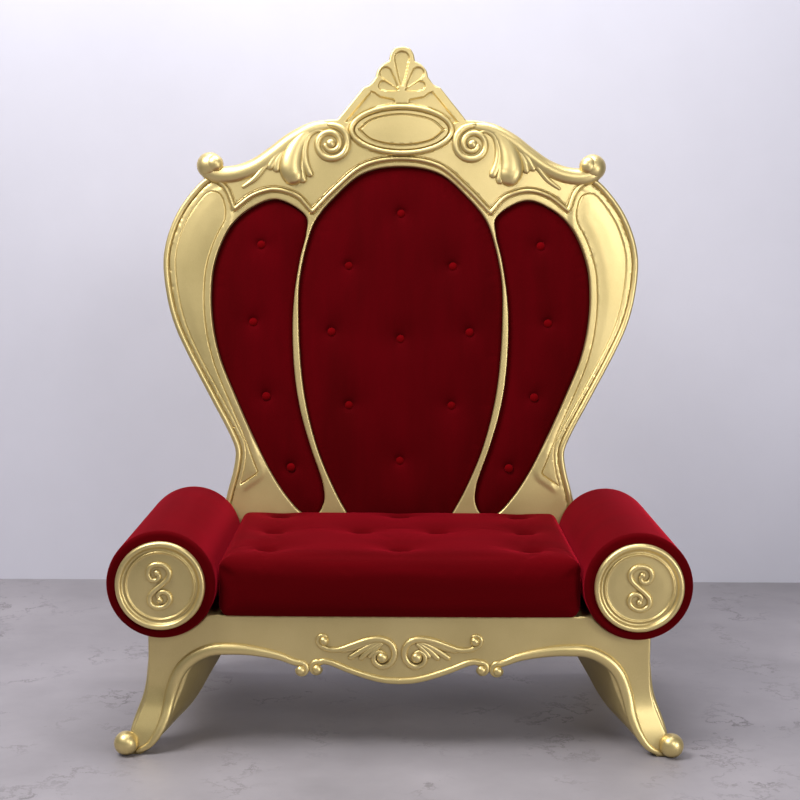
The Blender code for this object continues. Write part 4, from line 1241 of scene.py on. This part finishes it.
seat = mesh_piece("seat_cushion_cover", (np.stack([x, y, z], 1), faces), seat_velvet, 180, 1e-5)
at = coordinates(seat.data)
held = (at[:, 2] < BASE_TOP + HELD_RIM) | (at[:, 1] > BACK_Y - HELD_RIM)
for tuft_x, depth in SEAT_TUFTS:
    from_tuft = np.hypot(at[:, 0] - tuft_x, at[:, 1] - (FRONT + depth))
    held |= (from_tuft < 0.014) & (at[:, 2] > 0.44)
held |= np.abs(at[:, 0]) > SEAT_HALF - 0.0015
inflate(seat, held, 4.0, 0.007)
settle(seat, "velvet", "seat_cushion")
print("seat cushion points:", len(at))

# %% [markdown]
# ## The back's pads
# Each pad is foam under a stretched cover, tacked down inside its pocket, so it rises in a
# soft curve from the rib's foot and dips at each button. It is cut to the pocket's outline
# with the same relief maker as the wood, then blown up between the buttons.

# %% Pads
BUTTONS_CENTRE = [(0, 1.391), (0, 1.0195), (0, 0.6575), (0.1555, 1.2355), (0.206, 1.0395),
                  (0.153, 0.822), (-0.1555, 1.2355), (-0.206, 1.0395), (-0.153, 0.822)]
BUTTONS_SIDE = [(0.417, 1.2965), (0.44, 1.0675), (0.4, 0.847), (0.3255, 0.636)]
PAD_PITS = [(0.0112, 0.014), (0.0045, 0.034)]
PAD_FOOT, PAD_SHOULDER, PAD_CROWN = 0.0215, 0.016, 0.0105


def pad(name, node, loop, spots):
    """A stretched pad inside its pocket, dipping at its buttons."""
    tufts = on_back(spots)

    def height(points):
        gap = nearest(points, loop, True)
        rise = -PAD_FOOT + PAD_SHOULDER * dome(1 - np.clip(gap / 0.05, 0, 1))
        rise = rise + PAD_CROWN * ease(gap / 0.14)
        for tuft in tufts:
            away = np.linalg.norm(points - np.array(tuft), axis=1)
            for deep, wide in PAD_PITS:
                rise = rise - deep * np.exp(-(away / wide) ** 2)
        return rise

    rows = beside(loop, (0.002, 0.006, 0.0125, 0.02), True)
    turned_ring = around(12)
    for tuft in tufts:
        for radius in (0.004, 0.009, 0.014, 0.02):
            rows.append(np.stack([tuft[0] + radius * np.cos(turned_ring),
                                  tuft[1] + radius * np.sin(turned_ring)], 1))
    form = stand(relief(loop, [], rows, 0.0095, height, even(0.0292), mirror=False))
    piece = mesh_piece(name, form, back_velvet, 180, 1e-5)
    at = coordinates(piece.data)
    s = (at[:, 2] - BASE_TOP) * math.cos(LEAN) + (at[:, 1] - BACK_Y) * math.sin(LEAN)
    n = (at[:, 2] - BASE_TOP) * math.sin(LEAN) - (at[:, 1] - BACK_Y) * math.cos(LEAN)
    flat = np.stack([at[:, 0], s], 1)
    held = (n < -0.0212) | (nearest(flat, loop, True) < 0.004)
    for tuft in tufts:
        held |= np.linalg.norm(flat - np.array(tuft), axis=1) < 0.0095
    inflate(piece, held, 3.0, 0.005)
    settle(piece, "velvet", node)


pad_edge = from_middle(on_back(CENTRE_PAD), 0.009)
centre_loop = np.vstack([pad_edge, straight(pad_edge[-1], pad_edge[-1] * [-1, 1], 0.009),
                         (pad_edge * [-1, 1])[::-1][:-1]])
centre_loop = sideways(centre_loop, 0.0006, True)
if not inside(np.array([[0.0, up(1.0)]]), centre_loop)[0]:
    raise ValueError("centre pad outline is inside out")
side_ring = smooth_ring(on_back(SIDE_PAD), 0.009)
pad("pad_center", "back_pad_center", centre_loop, BUTTONS_CENTRE)
pad("pad_right", "back_pad_right", side_ring, BUTTONS_SIDE)
pad("pad_left", "back_pad_left", side_ring[::-1] * [-1, 1],
    [(-x, height) for x, height in BUTTONS_SIDE])

# %% [markdown]
# ## Arm bolsters
# A bolster is a stuffed roll with a flat front under its medallion and a soft rounded edge.
# Its rings are turned about its axis, and every ring is stretched so that the last one lies
# along the leaning back. Then it swells a little, held in front, behind and in its cradle.

# %% Bolsters
FRONT_EDGE = 0.011
RIM_CLEAR = 0.011


def bolster(name, node, side):
    """A stuffed roll, cut off behind along the leaning back."""
    radius = BOLSTER_R - 0.0012
    bend = np.linspace(0, math.pi / 2, 6)
    stations = [(0.02 + 0.012 * step, 0.0) for step in range(9)]
    stations += [(radius - FRONT_EDGE + FRONT_EDGE * math.sin(a), FRONT_EDGE * (1 - math.cos(a)))
                 for a in bend]
    sides, length_steps = 96, 62
    angles = around(sides)
    height = np.sin(angles)

    def reach(z):
        on = BACK_Y - RIM_CLEAR / math.cos(LEAN)
        return on + (z - BASE_TOP) * math.tan(LEAN) - FRONT

    end = reach(BOLSTER_Z + height * radius)
    rings = [(size, np.full(sides, forward)) for size, forward in stations]
    rings += [(radius, FRONT_EDGE + step / length_steps * (end - FRONT_EDGE))
              for step in range(1, length_steps + 1)]
    rings += [(size, reach(BOLSTER_Z + height * size))
              for size in radius * np.array([0.9, 0.75, 0.5, 0.25, 0.1])]
    rings = [np.stack([np.cos(angles) * size, forward, height * size], 1)
             for size, forward in rings]
    count = len(rings)
    points = np.vstack(rings) + [side * BOLSTER_X, FRONT, BOLSTER_Z]
    lids = [tuple(range(sides)), tuple(range((count - 1) * sides, count * sides))]
    piece = mesh_piece(name, (points, ring_faces(count, sides) + lids), seat_velvet, 180)
    at = coordinates(piece.data)
    across = np.hypot(at[:, 0] - side * BOLSTER_X, at[:, 2] - BOLSTER_Z)
    plane = reach(at[:, 2]) + FRONT
    held = (across < 0.118) | (at[:, 1] > plane - HELD_RIM) | (at[:, 2] < BASE_TOP + 0.004)
    inflate(piece, held, 3.0, 0.003)
    settle(piece, "velvet", node)


for side, word in ((1, "right"), (-1, "left")):
    bolster(f"bolster_{word}", f"arm_bolster_{word}", side)

# %% [markdown]
# ## Buttons
# Every tuft is pulled in by a button covered with the same velvet, its colour painted 1.7 times
# brighter as a painted highlight. They sit at the bottom of the dips, so a low dome with a
# rounded edge is all of them that shows.

# %% Buttons
dome_mesh = ball((0, 0, 0), (0.0126, 0.0126, 0.0062), 28, 12)
nodes = sorted(name for name in frame["nodes"] if "button" in name)
for node in nodes:
    low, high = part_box(node)
    middle = (low + high) / 2
    if node.startswith("seat"):
        tilt = Matrix.Identity(3)
    else:
        tilt = Matrix.Rotation(math.pi / 2 - LEAN, 3, "X")
    local = np.array([tuple(tilt @ Vector(point)) for point in dome_mesh[0]])
    piece = mesh_piece(f"{node}_cover", (local + np.array(middle), dome_mesh[1]),
                       button_velvet, 180)
    settle(piece, "button_velvet", node)
print("buttons:", len(nodes))

# %% [markdown]
# ## Studio
# The throne stands on a worn concrete floor before a pale wall. A large soft light from above
# on the left draws the carving, one overhead lights the seat, and smaller ones in front and
# low on the right lift the gold. A faint even sky fills the shadows. The camera stands about
# four metres off, about twice as high as the arms, and looks slightly down.

# %% Floor, wall and lights
def plain(name, colour, roughness, worn, one_sided=False):
    """Paint or concrete: a mottled colour, with thin dark veins where worn is above nought.
    A one-sided wall can be looked through from behind."""
    tree = Tree(name)
    mottle = tree.noise(1.6, 6.0, 0.62).span(0.25, 0.75)
    darker = tuple(value * (0.93 - 0.45 * worn) for value in colour[:3]) + (1.0,)
    vein = abs(tree.noise(2.3, 8.0, 0.68) - 0.5).span(0.014, 0.0)
    patch = tree.noise(3.1, 3.0).span(0.48, 0.66)
    shade = tree.blend(mottle, darker, colour)
    shade = tree.blend(vein * patch * worn, shade, tint(70, 64, 64))
    seen = 1 - tree.add("ShaderNodeNewGeometry")("Backfacing") if one_sided else 1.0
    return tree.finish(Base_Color=shade, Roughness=roughness + mottle * 0.06, Alpha=seen)


def panel_of(name, corners, material):
    piece = mesh_piece(name, (np.array(corners, float), [(0, 1, 2, 3)]), material)
    return piece


WALL_Y = 1.55
panel_of("studio_floor", [(-6, -7, 0), (6, -7, 0), (6, WALL_Y, 0), (-6, WALL_Y, 0)],
         plain("floor_paint", tint(152, 147, 153), 0.5, 0.7))
wall_paint = plain("wall_paint", tint(202, 201, 214), 0.8, 0.0, True)
panel_of("studio_wall", [(-6, WALL_Y, -0.01), (6, WALL_Y, -0.01), (6, WALL_Y, 5),
                         (-6, WALL_Y, 5)], wall_paint)


def soft_light(name, place, target, size, power, colour):
    lamp = bpy.data.lights.new(name, "AREA")
    lamp.shape = "RECTANGLE"
    lamp.size, lamp.size_y = size
    lamp.energy = power
    lamp.color = colour
    holder = bpy.data.objects.new(name, lamp)
    holder.location = place
    aim = Vector(target) - Vector(place)
    holder.rotation_euler = aim.to_track_quat("-Z", "Y").to_euler()
    bpy.context.scene.collection.objects.link(holder)


WARM = (1.0, 0.99, 0.97)
LIGHTS = [
    ("light_left", (-2.2, -1.6, 4.0), (0, 0, 0.8), (1.9, 1.4), 172, (1.0, 0.98, 0.95)),
    ("light_right", (1.7, -4.3, 2.9), (0.2, 0, 1.2), (1.5, 1.1), 52, WARM),
    ("light_front", (-1.4, -4.3, 2.8), (-0.2, 0, 1.2), (1.4, 1.0), 6, WARM),
    ("light_low", (2.9, -2.7, 0.9), (0.4, -0.3, 0.4), (0.9, 1.2), 44, WARM),
    ("light_top", (0, 0.1, 4.4), (0, 0.1, 0), (2.6, 2.0), 136, (1.0, 1.0, 1.0))]
for light in LIGHTS:
    soft_light(*light)
sky = bpy.data.worlds.new("sky")
sky.use_nodes = True
background = sky.node_tree.nodes["Background"].inputs
background["Color"].default_value = (0.86, 0.87, 0.92, 1)
background["Strength"].default_value = 0.14
bpy.context.scene.world = sky

# %% Camera
EYE = (-0.0103, -4.3175, 1.3618)
LOOK_DOWN, LOOK_ASIDE, ROLL = 6.46, -0.12, 0.31
lens = bpy.data.cameras.new("camera")
lens.lens = 70.2
lens.sensor_width = 36.0
camera = bpy.data.objects.new("camera", lens)
aim = (Matrix.Rotation(math.radians(LOOK_ASIDE), 4, "Z")
       @ Matrix.Rotation(math.radians(90 - LOOK_DOWN), 4, "X")
       @ Matrix.Rotation(math.radians(ROLL), 4, "Z"))
camera.rotation_euler = aim.to_euler()
camera.location = EYE
bpy.context.scene.collection.objects.link(camera)
bpy.context.scene.camera = camera
bpy.context.scene.view_settings.view_transform = "Standard"
